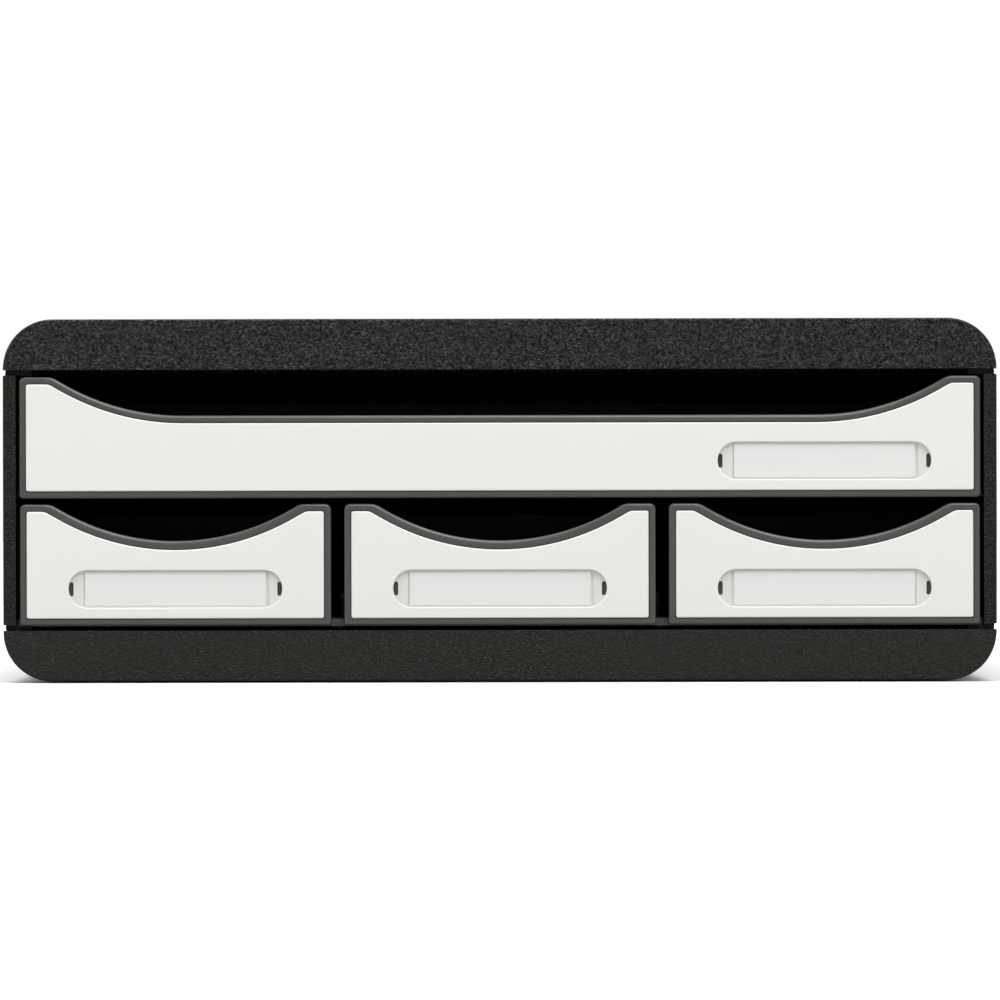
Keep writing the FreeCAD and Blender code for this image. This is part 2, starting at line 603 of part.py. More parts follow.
def build_foot(label, across, along):
    """Builds a rubber foot; across and along are 1 or -1 for its corner of the case."""
    body = new_body(label)
    sketch = new_sketch(body, "disc", "XY_Plane")
    draw_circle(sketch, f"{across} * Places.foot_across", f"{along} * Places.foot_along",
                "Sizes.foot_radius")
    pad(body, sketch, "Sizes.foot_thickness")
    round_edges(body, "Sizes.foot_round", lambda point: near(point.z, "0"))
    return body


# Drawers

def draw_front(sketch, kind, layer):
    """Draws one outline of a drawer front: a plate with a finger scoop in its top edge."""
    name = f"Places.{kind}_{layer}"
    right = [
        (f"{name}_half", f"{name}_foot"),
        (f"{name}_half", f"{name}_head"),
        (f"{name}_shoulder", f"{name}_head"),
        (f"{name}_flank", f"{name}_rise"),
    ]
    if kind == "large":
        right.append(("Places.large_flat", f"{name}_low"))
    left = [(f"-{across}", up) for across, up in reversed(right)]
    last = len(right) - 1
    arcs = {3: (f"{name}_radius", "hollow")}
    if kind == "large":
        arcs[last + 1] = (f"{name}_radius", "hollow")
    draw_outline(sketch, right + left, arcs)


def round_front_corners(body, kind, layer, corner, foot_corner, shoulder):
    """Rounds the upper corners, the lower corners and the shoulders of a front that was just drawn."""
    name = f"Places.{kind}_{layer}"
    for radius, across, up in ((corner, f"{name}_half", f"{name}_head"),
                               (foot_corner, f"{name}_half", f"{name}_foot"),
                               (shoulder, f"{name}_shoulder", f"{name}_head")):
        round_edges(body, radius,
                    lambda point: near(abs(point.x), across) and near(point.z, up))


def build_tray(label, kind, shift):
    """Builds a drawer tray: a scooped front with a recess for the white panel, and a box behind it."""
    body = new_body(label)
    name = f"Places.{kind}"
    half = f"({name}_width / 2 - Sizes.tray_inset)"
    inner_half = f"({name}_width / 2 - Sizes.tray_inset - Sizes.tray_wall)"

    sketch = new_sketch(body, "front", "XZ_Plane", "Places.front_back")
    draw_front(sketch, kind, "trim")
    pad(body, sketch, "Sizes.front_thickness")
    round_front_corners(body, kind, "trim", "Sizes.trim_corner", "Sizes.trim_foot_corner",
                        "Sizes.trim_shoulder_round")
    round_edges(body, "Sizes.trim_edge_round", lambda point: near(point.y, "-Places.trim_forward"))

    sketch = new_sketch(body, "box", "XY_Plane", f"{name}_floor")
    draw_rectangle(sketch, f"-{half}", half, "-Places.front_back", "Places.tray_rear")
    pad(body, sketch, f"{name}_head - Sizes.tray_drop - {name}_floor")
    round_edges(body, "Sizes.tray_corner",
                lambda point: near(abs(point.x), half) and near(point.y, "Places.tray_rear"))

    sketch = new_sketch(body, "inside", "XY_Plane", f"{name}_head - Sizes.tray_drop")
    draw_rectangle(sketch, f"-{inner_half}", inner_half, "-Places.front_back",
                   "Places.tray_rear - Sizes.tray_wall")
    pocket(body, sketch, f"{name}_head - Sizes.tray_drop - {name}_floor - Sizes.tray_floor")
    round_edges(body, "Sizes.tray_corner - Sizes.tray_wall",
                lambda point: near(abs(point.x), inner_half)
                and near(point.y, "Places.tray_rear - Sizes.tray_wall"))
    round_edges(body, "Sizes.tray_floor_round",
                lambda point: near(point.z, f"{name}_floor + Sizes.tray_floor"))
    round_edges(body, "Sizes.tray_rim_round",
                lambda point: near(point.z, f"{name}_head - Sizes.tray_drop")
                and point.y > value_of("-Places.front_back + Sizes.overrun"))

    sketch = new_sketch(body, "recess", "XZ_Plane", "Places.trim_forward")
    draw_front(sketch, kind, "recess")
    pocket(body, sketch, "Sizes.panel_recess")
    round_front_corners(body, kind, "recess", "Sizes.panel_corner + Sizes.panel_gap",
                        "Sizes.panel_corner + Sizes.panel_gap",
                        "Sizes.panel_shoulder_round + Sizes.panel_gap")

    sketch = new_sketch(body, "pin_holes", "XZ_Plane", "Places.recess_forward")
    for share in PIN_SHARES[kind]:
        draw_circle(sketch, f"{share} * {name}_width / 2", f"{name}_foot + Places.label_rise",
                    "Sizes.pin_radius + Sizes.pin_clearance")
    pocket(body, sketch, "Sizes.front_thickness - Sizes.panel_recess + Sizes.overrun")

    if kind == "large":
        add_stop_lugs(body, half)
    else:
        add_stop_nub(body)
        body.setExpression("Placement.Base.x", f"{shift} * Places.pitch")
    return body


def add_stop_lugs(body, half):
    """Adds the lugs at the wide tray's rear that meet the side panels' stops."""
    sketch = new_sketch(body, "lugs", "XY_Plane", "Places.large_floor")
    for side in (-1, 1):
        draw_rectangle(sketch, f"{side} * ({half} - Sizes.tray_wall / 2)", f"{side} * Places.lug_outer",
                       "Places.lug_front", "Places.lug_rear")
    pad(body, sketch, "Sizes.lug_height")


def add_stop_nub(body):
    """Adds the nub under a narrow tray's rear that runs in its slot of the shelf."""
    sketch = new_sketch(body, "nub", "XY_Plane", "Places.small_floor")
    draw_rectangle(sketch, "-Sizes.nub_width / 2", "Sizes.nub_width / 2",
                   "Places.nub_front", "Places.tray_rear")
    pad(body, sketch, "Sizes.fit_clearance + Sizes.shelf_wall - Sizes.nub_short", reverse=True)


def build_front_panel(label, kind, shift):
    """Builds a white front panel with its label recess, the slots at its ends and its pins."""
    body = new_body(label)
    name = f"Places.{kind}"
    middle = "Places.pitch" if kind == "large" else "0"
    height = f"({name}_foot + Places.label_rise)"

    sketch = new_sketch(body, "plate", "XZ_Plane", "Places.recess_forward")
    draw_front(sketch, kind, "panel")
    pad(body, sketch, "Sizes.panel_recess + Sizes.panel_proud")
    round_front_corners(body, kind, "panel", "Sizes.panel_corner", "Sizes.panel_corner",
                        "Sizes.panel_shoulder_round")
    round_edges(body, "Sizes.panel_edge_round", lambda point: near(point.y, "-Places.panel_forward"))

    sketch = new_sketch(body, "label", "XZ_Plane", "Places.panel_forward")
    draw_capsule(sketch, middle, height, "Places.label_end", "Places.label_radius")
    pocket(body, sketch, "Sizes.label_depth")
    left = value_of(f"{middle} - Sizes.label_width / 2")
    right = value_of(f"{middle} + Sizes.label_width / 2")
    low = value_of(f"{height} - Places.label_radius")
    high = value_of(f"{height} + Places.label_radius")
    slack = value_of("Sizes.label_rim_round")
    round_edges(body, "Sizes.label_rim_round",
                lambda point: near(point.y, "-Places.panel_forward")
                and left - slack < point.x < right + slack and low - slack < point.z < high + slack)

    sketch = new_sketch(body, "thumb_slots", "XZ_Plane", "Places.label_floor")
    for side in (-1, 1):
        corners = [
            (f"{middle} + {side} * Places.thumb_inner", f"{height} - Sizes.thumb_slot_height / 2"),
            (f"{middle} + {side} * Places.thumb_corner", f"{height} - Sizes.thumb_slot_height / 2"),
            (f"{middle} + {side} * Places.thumb_corner", f"{height} + Sizes.thumb_slot_height / 2"),
            (f"{middle} + {side} * Places.thumb_inner", f"{height} + Sizes.thumb_slot_height / 2"),
        ]
        draw_outline(sketch, corners, {1: ("Places.label_radius", "round")})
    pocket(body, sketch, "Sizes.panel_recess + Sizes.panel_proud - Sizes.label_depth + Sizes.overrun")

    sketch = new_sketch(body, "pins", "XZ_Plane", "Places.recess_forward")
    for share in PIN_SHARES[kind]:
        draw_circle(sketch, f"{share} * {name}_width / 2", height, "Sizes.pin_radius")
    pad(body, sketch, "Sizes.front_thickness - Sizes.panel_recess - Sizes.pin_short", reverse=True)

    if kind == "small":
        body.setExpression("Placement.Base.x", f"{shift} * Places.pitch")
    return body


def draw_capsule(sketch, middle, height, end, radius):
    """Draws a bar with half-round ends about a point."""
    corners = [
        (f"{middle} + {end}", f"{height} - {radius}"),
        (f"{middle} + {end}", f"{height} + {radius}"),
        (f"{middle} - {end}", f"{height} + {radius}"),
        (f"{middle} - {end}", f"{height} - {radius}"),
    ]
    arcs = {0: (radius, "round", f"{middle} + {end}"), 2: (radius, "round", f"{middle} - {end}")}
    draw_outline(sketch, corners, arcs)


def build_label_card(label, kind, shift):
    """Builds the blank card that lies on the floor of a label recess."""
    body = new_body(label)
    middle = "Places.pitch" if kind == "large" else "0"
    height = f"Places.{kind}_foot + Places.label_rise"
    sketch = new_sketch(body, "sheet", "XZ_Plane", "Places.label_floor")
    draw_rectangle(sketch, f"{middle} - Places.card_half_width", f"{middle} + Places.card_half_width",
                   f"{height} - Places.card_half_height", f"{height} + Places.card_half_height")
    pad(body, sketch, "Sizes.card_thickness")
    if kind == "small":
        body.setExpression("Placement.Base.x", f"{shift} * Places.pitch")
    return body


def build_label_window(label, kind, shift):
    """Builds the clear window over a card, notched at its ends where the thumb slots are."""
    body = new_body(label)
    middle = "Places.pitch" if kind == "large" else "0"
    height = f"Places.{kind}_foot + Places.label_rise"
    sketch = new_sketch(body, "pane", "XZ_Plane", "Places.card_forward")
    draw_capsule(sketch, middle, height, "Places.label_end", "Places.window_radius")
    pad(body, sketch, "Sizes.window_thickness")
    round_edges(body, "Sizes.window_edge_round", lambda point: near(point.y, "-Places.window_forward"))
    sketch = new_sketch(body, "notches", "XZ_Plane", "Places.window_forward")
    for side in (-1, 1):
        draw_rectangle(sketch, f"{middle} + {side} * Places.thumb_inner",
                       f"{middle} + {side} * (Sizes.label_width / 2 + Sizes.overrun)",
                       f"{height} - Sizes.thumb_slot_height / 2", f"{height} + Sizes.thumb_slot_height / 2")
    pocket(body, sketch, "Sizes.window_thickness")
    if kind == "small":
        body.setExpression("Placement.Base.x", f"{shift} * Places.pitch")
    return body


def build_drawer(name, kind, shift=0):
    """Builds the four pieces of one drawer."""
    return [
        build_tray(f"{name}_tray", kind, shift),
        build_front_panel(f"{name}_front_panel", kind, shift),
        build_label_card(f"{name}_label_card", kind, shift),
        build_label_window(f"{name}_label_window", kind, shift),
    ]


def build_parts():
    """Builds every sub-part of the drawer set."""
    parts = [
        build_bottom_cap(),
        build_cap("top_cap", "Places.case_top", "Places.seam_high", 1),
        build_side_panel("left_side_panel", -1),
        build_side_panel("right_side_panel", 1),
        build_back_panel(),
        build_shelf(),
    ]
    for end, along in (("front", -1), ("rear", 1)):
        for side, across in (("left", -1), ("right", 1)):
            parts.append(build_foot(f"{end}_{side}_foot", across, along))
    parts += build_drawer("large_drawer", "large")
    for name, shift in (("left_drawer", -1), ("middle_drawer", 0), ("right_drawer", 1)):
        parts += build_drawer(name, "small", shift)
    return parts


def check_document(parts):
    """Stops if anything in the document failed or a sub-part isn't a sound solid."""
    document.recompute()
    for item in document.Objects:
        if "Invalid" in item.State or "Error" in item.State:
            raise RuntimeError(f"{item.Label} failed: {item.State}")
    for part in parts:
        if part.Shape.isNull() or not part.Shape.isValid() or len(part.Shape.Solids) != 1:
            raise RuntimeError(f"{part.Label} isn't one sound solid")


def write_parts(parts):
    """Writes each sub-part to its own file."""
    os.makedirs("parts", exist_ok=True)
    for part in parts:
        part.Shape.exportStep(f"parts/{part.Label}.step")
        box = part.Shape.BoundBox
        print(f"{part.Label}: {part.Shape.Volume:.0f} mm3, x {box.XMin:.2f} to {box.XMax:.2f}, "
              f"y {box.YMin:.2f} to {box.YMax:.2f}, z {box.ZMin:.2f} to {box.ZMax:.2f}")


all_parts = build_parts()
check_document(all_parts)
write_parts(all_parts)
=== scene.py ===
import logging
import math
from dataclasses import dataclass, replace
from enum import Enum
from typing import Callable, Optional, Sequence

import bmesh
import bpy
from bmesh.types import BMEdge, BMesh, BMVert
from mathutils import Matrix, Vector


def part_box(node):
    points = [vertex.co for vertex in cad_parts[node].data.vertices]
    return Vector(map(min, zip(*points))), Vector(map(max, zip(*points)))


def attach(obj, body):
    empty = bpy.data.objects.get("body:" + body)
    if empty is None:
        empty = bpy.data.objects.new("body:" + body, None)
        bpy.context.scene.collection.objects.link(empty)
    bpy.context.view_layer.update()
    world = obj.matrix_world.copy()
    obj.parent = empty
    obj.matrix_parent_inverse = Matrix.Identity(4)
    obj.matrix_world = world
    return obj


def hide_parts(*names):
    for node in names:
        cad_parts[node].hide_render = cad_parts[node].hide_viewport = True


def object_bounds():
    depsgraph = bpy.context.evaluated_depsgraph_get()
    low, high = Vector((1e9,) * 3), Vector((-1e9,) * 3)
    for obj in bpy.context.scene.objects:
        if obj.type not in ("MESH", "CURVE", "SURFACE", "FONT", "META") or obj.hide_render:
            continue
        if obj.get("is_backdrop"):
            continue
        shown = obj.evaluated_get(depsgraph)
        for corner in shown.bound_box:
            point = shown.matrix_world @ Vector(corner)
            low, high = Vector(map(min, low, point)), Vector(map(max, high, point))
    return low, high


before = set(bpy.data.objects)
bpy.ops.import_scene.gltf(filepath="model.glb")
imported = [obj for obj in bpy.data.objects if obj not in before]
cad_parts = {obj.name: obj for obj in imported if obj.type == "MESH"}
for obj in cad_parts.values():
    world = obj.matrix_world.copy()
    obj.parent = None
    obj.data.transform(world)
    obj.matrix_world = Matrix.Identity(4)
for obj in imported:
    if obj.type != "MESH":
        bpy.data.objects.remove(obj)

# The looks of the desktop mini drawers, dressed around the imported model.
# Everything is in metres in the model's frame: the fronts face -Y, +Z is up, the floor is at zero.

log = logging.getLogger("mini_drawers")

MM = 0.001
NEAR = 0.01 * MM
SHARP_ANGLE = math.radians(35.0)
TOWARDS_VIEWER = Vector((0.0, -1.0, 0.0))
PARALLEL = 0.999
FACING = 0.9
NOTCH_STEPS = 8
END_STEPS = 24
SCOOP_STEPS = 48
X, Y, Z = range(3)

Span = tuple[float, float]
Tint = tuple[float, float, float]
Colour = tuple[float, float, float, float]

NEUTRAL: Tint = (1.0, 1.0, 1.0)
FULL: Span = (0.0, 1.0)
MIDDLE: Span = (0.3, 0.7)


class Slot(Enum):
    """The record's material slots."""

    CASE = "case_black"
    TRAY = "tray_grey"
    FRONT = "front_white"
    WINDOW = "window_clear"
    CARD = "card_paper"
    FOOT = "foot_rubber"


# Finishes

def tone(level: float, tint: Tint = NEUTRAL) -> Colour:
    """Gives a grey of a linear level, its red, green and blue multiplied by a tint."""
    red, green, blue = tint
    return (level * red, level * green, level * blue, 1.0)


@dataclass(frozen=True)
class Noise:
    """A noise: how wide its features are, how many and strong its finer layers, how far it is wound."""

    size: float
    detail: float = 2.0
    roughness: float = 0.5
    winding: float = 0.0


class Tree:
    """A node tree, with short calls that add nodes and set or link their inputs."""

    def __init__(self, tree: bpy.types.NodeTree) -> None:
        """Keeps the tree."""
        self.tree = tree

    def add(self, kind: str, **inputs: object) -> bpy.types.Node:
        """Adds a node and sets or links its inputs, named in lower case with underscores."""
        node = self.tree.nodes.new(kind)
        self.fill(node, **inputs)
        return node

    def fill(self, node: bpy.types.Node, **inputs: object) -> None:
        """Sets or links a node's inputs, which are named as for add."""
        names = {socket.name.lower().replace(" ", "_"): socket for socket in reversed(node.inputs)}
        for name, content in inputs.items():
            self.feed(names[name], content)

    def feed(self, socket: bpy.types.NodeSocket, content: object) -> None:
        """Sets a socket's value, or links an output to it."""
        if isinstance(content, bpy.types.NodeSocket):
            self.tree.links.new(content, socket)
        else:
            socket.default_value = content

    def stretch(self, value: bpy.types.NodeSocket, span: Span, onto: Span = FULL) -> bpy.types.NodeSocket:
        """Maps a span of values onto another, without leaving it."""
        node = self.add("ShaderNodeMapRange", value=value, from_min=span[0], from_max=span[1], to_min=onto[0],
                        to_max=onto[1])
        return node.outputs["Result"]

    def calculate(self, operation: str, first: bpy.types.NodeSocket,
                  second: bpy.types.NodeSocket) -> bpy.types.NodeSocket:
        """Gives the result of an operation on two outputs."""
        node = self.tree.nodes.new("ShaderNodeMath")
        node.operation = operation
        self.feed(node.inputs[0], first)
        self.feed(node.inputs[1], second)
        return node.outputs[0]


class Nodes(Tree):
    """The node tree of one material, with short calls for the nodes that the finishes share."""

    def __init__(self, name: str) -> None:
        """Starts a material of this name with a Principled shader."""
        self.material = bpy.data.materials.new(name)
        self.material.use_nodes = True
        super().__init__(self.material.node_tree)
        self.shader = self.tree.nodes["Principled BSDF"]
        self.place = self.tree.nodes.new("ShaderNodeTexCoord").outputs["Object"]

    def noise(self, noise: Noise) -> bpy.types.NodeSocket:
        """Gives a noise on the object's own coordinates."""
        node = self.add("ShaderNodeTexNoise", vector=self.place, scale=1.0 / noise.size, detail=noise.detail,
                        roughness=noise.roughness, distortion=noise.winding)
        return node.outputs["Fac"]

    def blend(self, share: bpy.types.NodeSocket, first: Colour, second: Colour) -> bpy.types.NodeSocket:
        """Mixes two colours; the share is how much of the second one shows."""
        node = self.tree.nodes.new("ShaderNodeMix")
        node.data_type = "RGBA"
        self.feed(node.inputs[0], share)
        self.feed(node.inputs[6], first)
        self.feed(node.inputs[7], second)
        return node.outputs[2]

    def vary(self, share: bpy.types.NodeSocket, level: float, spread: Span,
             tint: Tint = NEUTRAL) -> bpy.types.NodeSocket:
        """Gives a tinted grey whose level runs between two multiples of it."""
        low, high = spread
        return self.blend(share, tone(level * low, tint), tone(level * high, tint))

    def emboss(self, height: bpy.types.NodeSocket, depth: float, strength: float = 1.0,
               below: Optional[bpy.types.NodeSocket] = None) -> bpy.types.NodeSocket:
        """Turns a height into a bump, which lies on another one where its normal is given."""
        node = self.add("ShaderNodeBump", height=height, distance=depth, strength=strength)
        if below:
            self.feed(node.inputs["Normal"], below)
        return node.outputs["Normal"]

    def set(self, **inputs: object) -> None:
        """Sets or links the shader's own inputs, which are named as for add."""
        self.fill(self.shader, **inputs)


@dataclass(frozen=True)
class PebbledPlastic:
    """Black moulded plastic with a leather-like grain of short ridges, its crests lightened in colour as
    painted glints.
    """

    name: str
    level: float = 0.0046
    tint: Tint = (1.0, 1.0, 0.4)
    roughness: Span = (0.36, 0.27)
    specular: float = 0.34
    ridges: Noise = Noise(0.88 * MM, 1.5, 0.5, 0.8)
    ridge_depth: float = 0.9 * MM
    fine: Noise = Noise(0.45 * MM, 1.0)
    fine_depth: float = 0.05 * MM
    fine_strength: float = 0.6
    patches: Noise = Noise(40.0 * MM)
    lift_span: Span = (0.36, 0.70)
    grain_glint_span: Span = (0.50, 0.72)
    shine_span: Span = (0.42, 0.66)
    spread: Span = (0.1, 4.2)
    shine_spread: float = 0.0

    def material(self) -> bpy.types.Material:
        """Makes the material: winding ridges over a fine grain, their crests lighter in colour, partly grain
        tone and partly painted glint.
        """
        nodes = Nodes(self.name)
        ridges = nodes.noise(self.ridges)
        bump = nodes.emboss(nodes.stretch(ridges, self.lift_span), self.ridge_depth)
        bump = nodes.emboss(nodes.noise(self.fine), self.fine_depth, self.fine_strength, below=bump)
        # The crests' lighter colour is partly the grain's tone and partly painted glints.
        grain_and_glints = nodes.stretch(ridges, self.grain_glint_span)
        shine = nodes.stretch(ridges, self.shine_span, (self.specular * (1.0 - self.shine_spread),
                                                        self.specular * (1.0 + 2.0 * self.shine_spread)))
        nodes.set(base_color=nodes.vary(grain_and_glints, self.level, self.spread, self.tint),
                  roughness=nodes.stretch(nodes.noise(self.patches), MIDDLE, self.roughness),
                  specular_ior_level=shine, normal=bump)
        return nodes.material


@dataclass(frozen=True)
class Finish:
    """A plain surface: a colour and a gloss that vary faintly, and a fine relief where it has one."""

    name: str
    level: float
    spread: Span
    shade: Noise
    roughness: Span
    specular: float
    tint: Tint = NEUTRAL
    haze: Optional[Noise] = None
    haze_span: Span = MIDDLE
    relief: Optional[Noise] = None
    depth: float = 0.0
    strength: float = 0.6
    cover: float = 1.0

    def material(self) -> bpy.types.Material:
        """Makes the material; its gloss follows the shade where it has no haze of its own."""
        nodes = Nodes(self.name)
        shade = nodes.noise(self.shade)
        haze = nodes.noise(self.haze) if self.haze else shade
        nodes.set(base_color=nodes.vary(shade, self.level, self.spread, self.tint),
                  roughness=nodes.stretch(haze, self.haze_span, self.roughness),
                  specular_ior_level=self.specular, alpha=self.cover)
        if self.relief:
            nodes.set(normal=nodes.emboss(nodes.noise(self.relief), self.depth, self.strength))
        return nodes.material


# The top cap's crests are painted with strong glints: their colour runs from a tenth to over four times its
# plain level.
COARSE_GLINT_BLACK = PebbledPlastic("top_plastic", shine_spread=0.32)
FINE_BLACK = PebbledPlastic("base_plastic", level=0.0095, tint=(1.0, 1.0, 0.65),
                            ridges=Noise(0.75 * MM, 1.5, 0.5, 0.8), ridge_depth=0.18 * MM, spread=(0.6, 1.7))
# The side panels' black is painted darker than the base cap's, as shade on their fronts.
DULL_SHADED_BLACK = PebbledPlastic("wall_plastic", level=0.0051, ridges=Noise(0.75 * MM, 1.5, 0.5, 0.8),
                            ridge_depth=0.2 * MM, specular=0.27, spread=(0.5, 1.9))
SATIN_GREY = Finish("tray_plastic", 0.067, (0.94, 1.06), Noise(18.0 * MM, 3.0), (0.28, 0.37), 0.5,
                    tint=(0.95, 1.0, 0.93), relief=Noise(0.35 * MM, 1.0), depth=0.012 * MM, strength=0.8)
SMOOTH_WHITE = Finish("front_plastic", 0.768, (0.992, 1.008), Noise(45.0 * MM), (0.35, 0.37), 0.5,
                      tint=(1.0, 0.99, 0.955), haze=Noise(30.0 * MM, 0.0), haze_span=(0.2, 0.8),
                      relief=Noise(45.0 * MM), depth=0.02 * MM, strength=0.5)
CLEAR = Finish("label_plastic", 0.75, (0.98, 1.0), Noise(6.0 * MM, 4.0, 0.7), (0.16, 0.31), 0.6,
               haze_span=(0.4, 0.75), cover=0.11)
PAPER = Finish("label_paper", 0.82, (0.98, 1.01), Noise(0.5 * MM, 4.0, 0.7), (0.85, 0.85), 0.25,
               tint=(1.0, 0.995, 0.975), relief=Noise(0.5 * MM, 4.0, 0.7), depth=0.01 * MM)
RUBBER = Finish("foot_rubber_dull", 0.018, (0.8, 1.3), Noise(0.6 * MM, 3.0), (0.8, 0.8), 0.3,
                relief=Noise(0.6 * MM, 3.0), depth=0.03 * MM)


# Mesh tools

@dataclass(frozen=True)
class Corner:
    """A point of an outline, rounded where it has a radius."""

    x: float
    z: float
    radius: float = 0.0

    @property
    def point(self) -> Vector:
        """The corner's place in the plane y = 0."""
        return Vector((self.x, 0.0, self.z))


@dataclass(frozen=True)
class Bend:
    """An arc about a centre, clockwise for the viewer where its angle is positive."""

    x: float
    z: float
    angle: float
    steps: int = 16


Path = list[Corner | Bend]


class Relief:
    """A solid whose outlines lie in planes that face the viewer, grown with bmesh operators."""

    def __init__(self) -> None:
        """Starts with an empty mesh."""
        self.mesh: BMesh = bmesh.new()
        self.last: Optional[BMVert] = None

    def run(self, point: Vector) -> None:
        """Draws a straight run to a point."""
        grown = bmesh.ops.extrude_vert_indiv(self.mesh, verts=[self.last])
        bmesh.ops.translate(self.mesh, verts=grown["verts"], vec=point - self.last.co)
        self.last = grown["verts"][0]

    def turn(self, centre: Vector, angle: float, steps: int) -> None:
        """Draws an arc about a centre."""
        turned = bmesh.ops.spin(self.mesh, geom=[self.last], cent=centre, axis=(0.0, 1.0, 0.0), angle=angle,
                                steps=steps, use_duplicate=False)
        self.last = next(item for item in turned["geom_last"] if isinstance(item, BMVert))

    def outline(self, y: float, path: Path) -> list[BMEdge]:
        """Draws a closed outline, which starts at a corner without a radius.

        Args:
            y: The outline's plane.
            path: The corners and arcs in their order.

        Returns:
            The outline's edges.
        """
        plane = Vector((0.0, y, 0.0))
        before = set(self.mesh.edges)
        first = bmesh.ops.create_vert(self.mesh, co=path[0].point + plane)["vert"][0]
        self.last = first
        for number, item in enumerate(path[1:], start=1):
            if isinstance(item, Bend):
                self.turn(Vector((item.x, y, item.z)), item.angle, item.steps)
            elif item.radius:
                onward = path[(number + 1) % len(path)].point + plane
                self.round_corner(item.point + plane, onward, item.radius)
            else:
                self.run(item.point + plane)
        if (self.last.co - first.co).length < NEAR:
            bmesh.ops.pointmerge(self.mesh, verts=[first, self.last], merge_co=first.co)
        else:
            bmesh.ops.contextual_create(self.mesh, geom=[first, self.last])
        return [edge for edge in self.mesh.edges if edge not in before]

    def round_corner(self, corner: Vector, onward: Vector, radius: float, steps: int = 8) -> None:
        """Draws a run towards a corner and rounds it.

        Args:
            corner: Where the sharp corner would be.
            onward: The point that the outline goes to after it.
            radius: The corner's radius.
            steps: How many straight pieces its arc has.
        """
        arriving = (corner - self.last.co).normalized()
        leaving = (onward - corner).normalized()
        angle = arriving.angle(leaving)
        self.run(corner - arriving * radius * math.tan(angle / 2.0))
        inward = (leaving - arriving * arriving.dot(leaving)).normalized()
        side = math.copysign(1.0, arriving.cross(leaving).y)
        self.turn(self.last.co + inward * radius, side * angle, steps)

    def sweep(self, loop: list[BMEdge], depth: float) -> list[BMEdge]:
        """Sweeps an outline straight back, which leaves a wall, and gives the edges where it ends."""
        grown = bmesh.ops.extrude_edge_only(self.mesh, edges=loop)["geom"]
        verts = {item for item in grown if isinstance(item, BMVert)}
        bmesh.ops.translate(self.mesh, verts=list(verts), vec=(0.0, depth, 0.0))
        edges = [item for item in grown if isinstance(item, BMEdge)]
        return [edge for edge in edges if all(vert in verts for vert in edge.verts)]

    def join(self, first: list[BMEdge], second: list[BMEdge]) -> None:
        """Joins two outlines of as many points with a band of faces."""
        bmesh.ops.bridge_loops(self.mesh, edges=first + second)

    def cover(self, *loops: list[BMEdge]) -> None:
        """Closes the plane between an outline and the outlines inside it."""
        edges = [edge for loop in loops for edge in loop]
        if len(loops) == 1:
            bmesh.ops.contextual_create(self.mesh, geom=edges)
        else:
            bmesh.ops.triangle_fill(self.mesh, edges=edges, normal=TOWARDS_VIEWER, use_beauty=True)

    def soften(self, radius: float, segments: int, test: Callable[[BMEdge], bool]) -> None:
        """Rounds the sharp edges that pass a test, once the solid is closed."""
        bmesh.ops.recalc_face_normals(self.mesh, faces=self.mesh.faces[:])
        soften(self.mesh, radius, segments, test)


def lies(edge: BMEdge, axis: int, place: float) -> bool:
    """Says whether an edge lies in a plane across an axis."""
    return all(abs(vert.co[axis] - place) < NEAR for vert in edge.verts)


def runs(edge: BMEdge, axis: int) -> bool:
    """Says whether an edge runs along an axis."""
    first, last = edge.verts
    return abs((last.co - first.co).normalized()[axis]) > PARALLEL


def soften(mesh: BMesh, radius: float, segments: int, test: Callable[[BMEdge], bool]) -> None:
    """Rounds the sharp edges of a mesh that pass a test."""
    edges = [edge for edge in mesh.edges
             if edge.is_manifold and edge.calc_face_angle() > SHARP_ANGLE and test(edge)]
    bmesh.ops.bevel(mesh, geom=edges, offset=radius, offset_type="OFFSET", segments=segments, profile=0.5,
                    affect="EDGES", material=-1, clamp_overlap=False)


def block(mesh: BMesh, low: Vector, high: Vector) -> None:
    """Adds a block between its lowest and its highest corner."""
    verts = bmesh.ops.create_cube(mesh, size=1.0)["verts"]
    bmesh.ops.scale(mesh, vec=high - low, verts=verts)
    bmesh.ops.translate(mesh, vec=(low + high) / 2.0, verts=verts)


def open_up(mesh: BMesh, *sides: tuple[int, float]) -> None:
    """Deletes the faces of a block that face along these directions, each an axis and a sign."""
    mesh.normal_update()
    faces = [face for face in mesh.faces if any(face.normal[axis] * sign > FACING for axis, sign in sides)]
    bmesh.ops.delete(mesh, geom=faces, context="FACES")


def as_object(name: str, mesh: BMesh) -> bpy.types.Object:
    """Makes an object of a mesh, its faces turned outwards, and frees the mesh."""
    bmesh.ops.recalc_face_normals(mesh, faces=mesh.faces[:])
    data = bpy.data.meshes.new(name)
    mesh.to_mesh(data)
    mesh.free()
    item = bpy.data.objects.new(name, data)
    bpy.context.scene.collection.objects.link(item)
    return item


def unite(body: BMesh, additions: Sequence[BMesh], cuts: Sequence[BMesh] = ()) -> BMesh:
    """Joins closed solids into one skin.

    Args:
        body: The solid that the others are added to.
        additions: Solids that reach into it.
        cuts: Solids whose space is cut out afterwards.

    Returns:
        The joined solid.
    """
    stand = as_object("body", body)
    steps = [("UNION", solid) for solid in additions] + [("DIFFERENCE", solid) for solid in cuts]
    for number, (operation, solid) in enumerate(steps):
        joint = stand.modifiers.new(f"joint_{number}", "BOOLEAN")
        joint.operation = operation
        joint.solver = "EXACT"
        joint.object = as_object(f"addition_{number}", solid)
    bpy.context.view_layer.update()
    joined = bmesh.new()
    joined.from_object(stand, bpy.context.evaluated_depsgraph_get())
    for item in [joint.object for joint in stand.modifiers] + [stand]:
        bpy.data.objects.remove(item)
    return joined


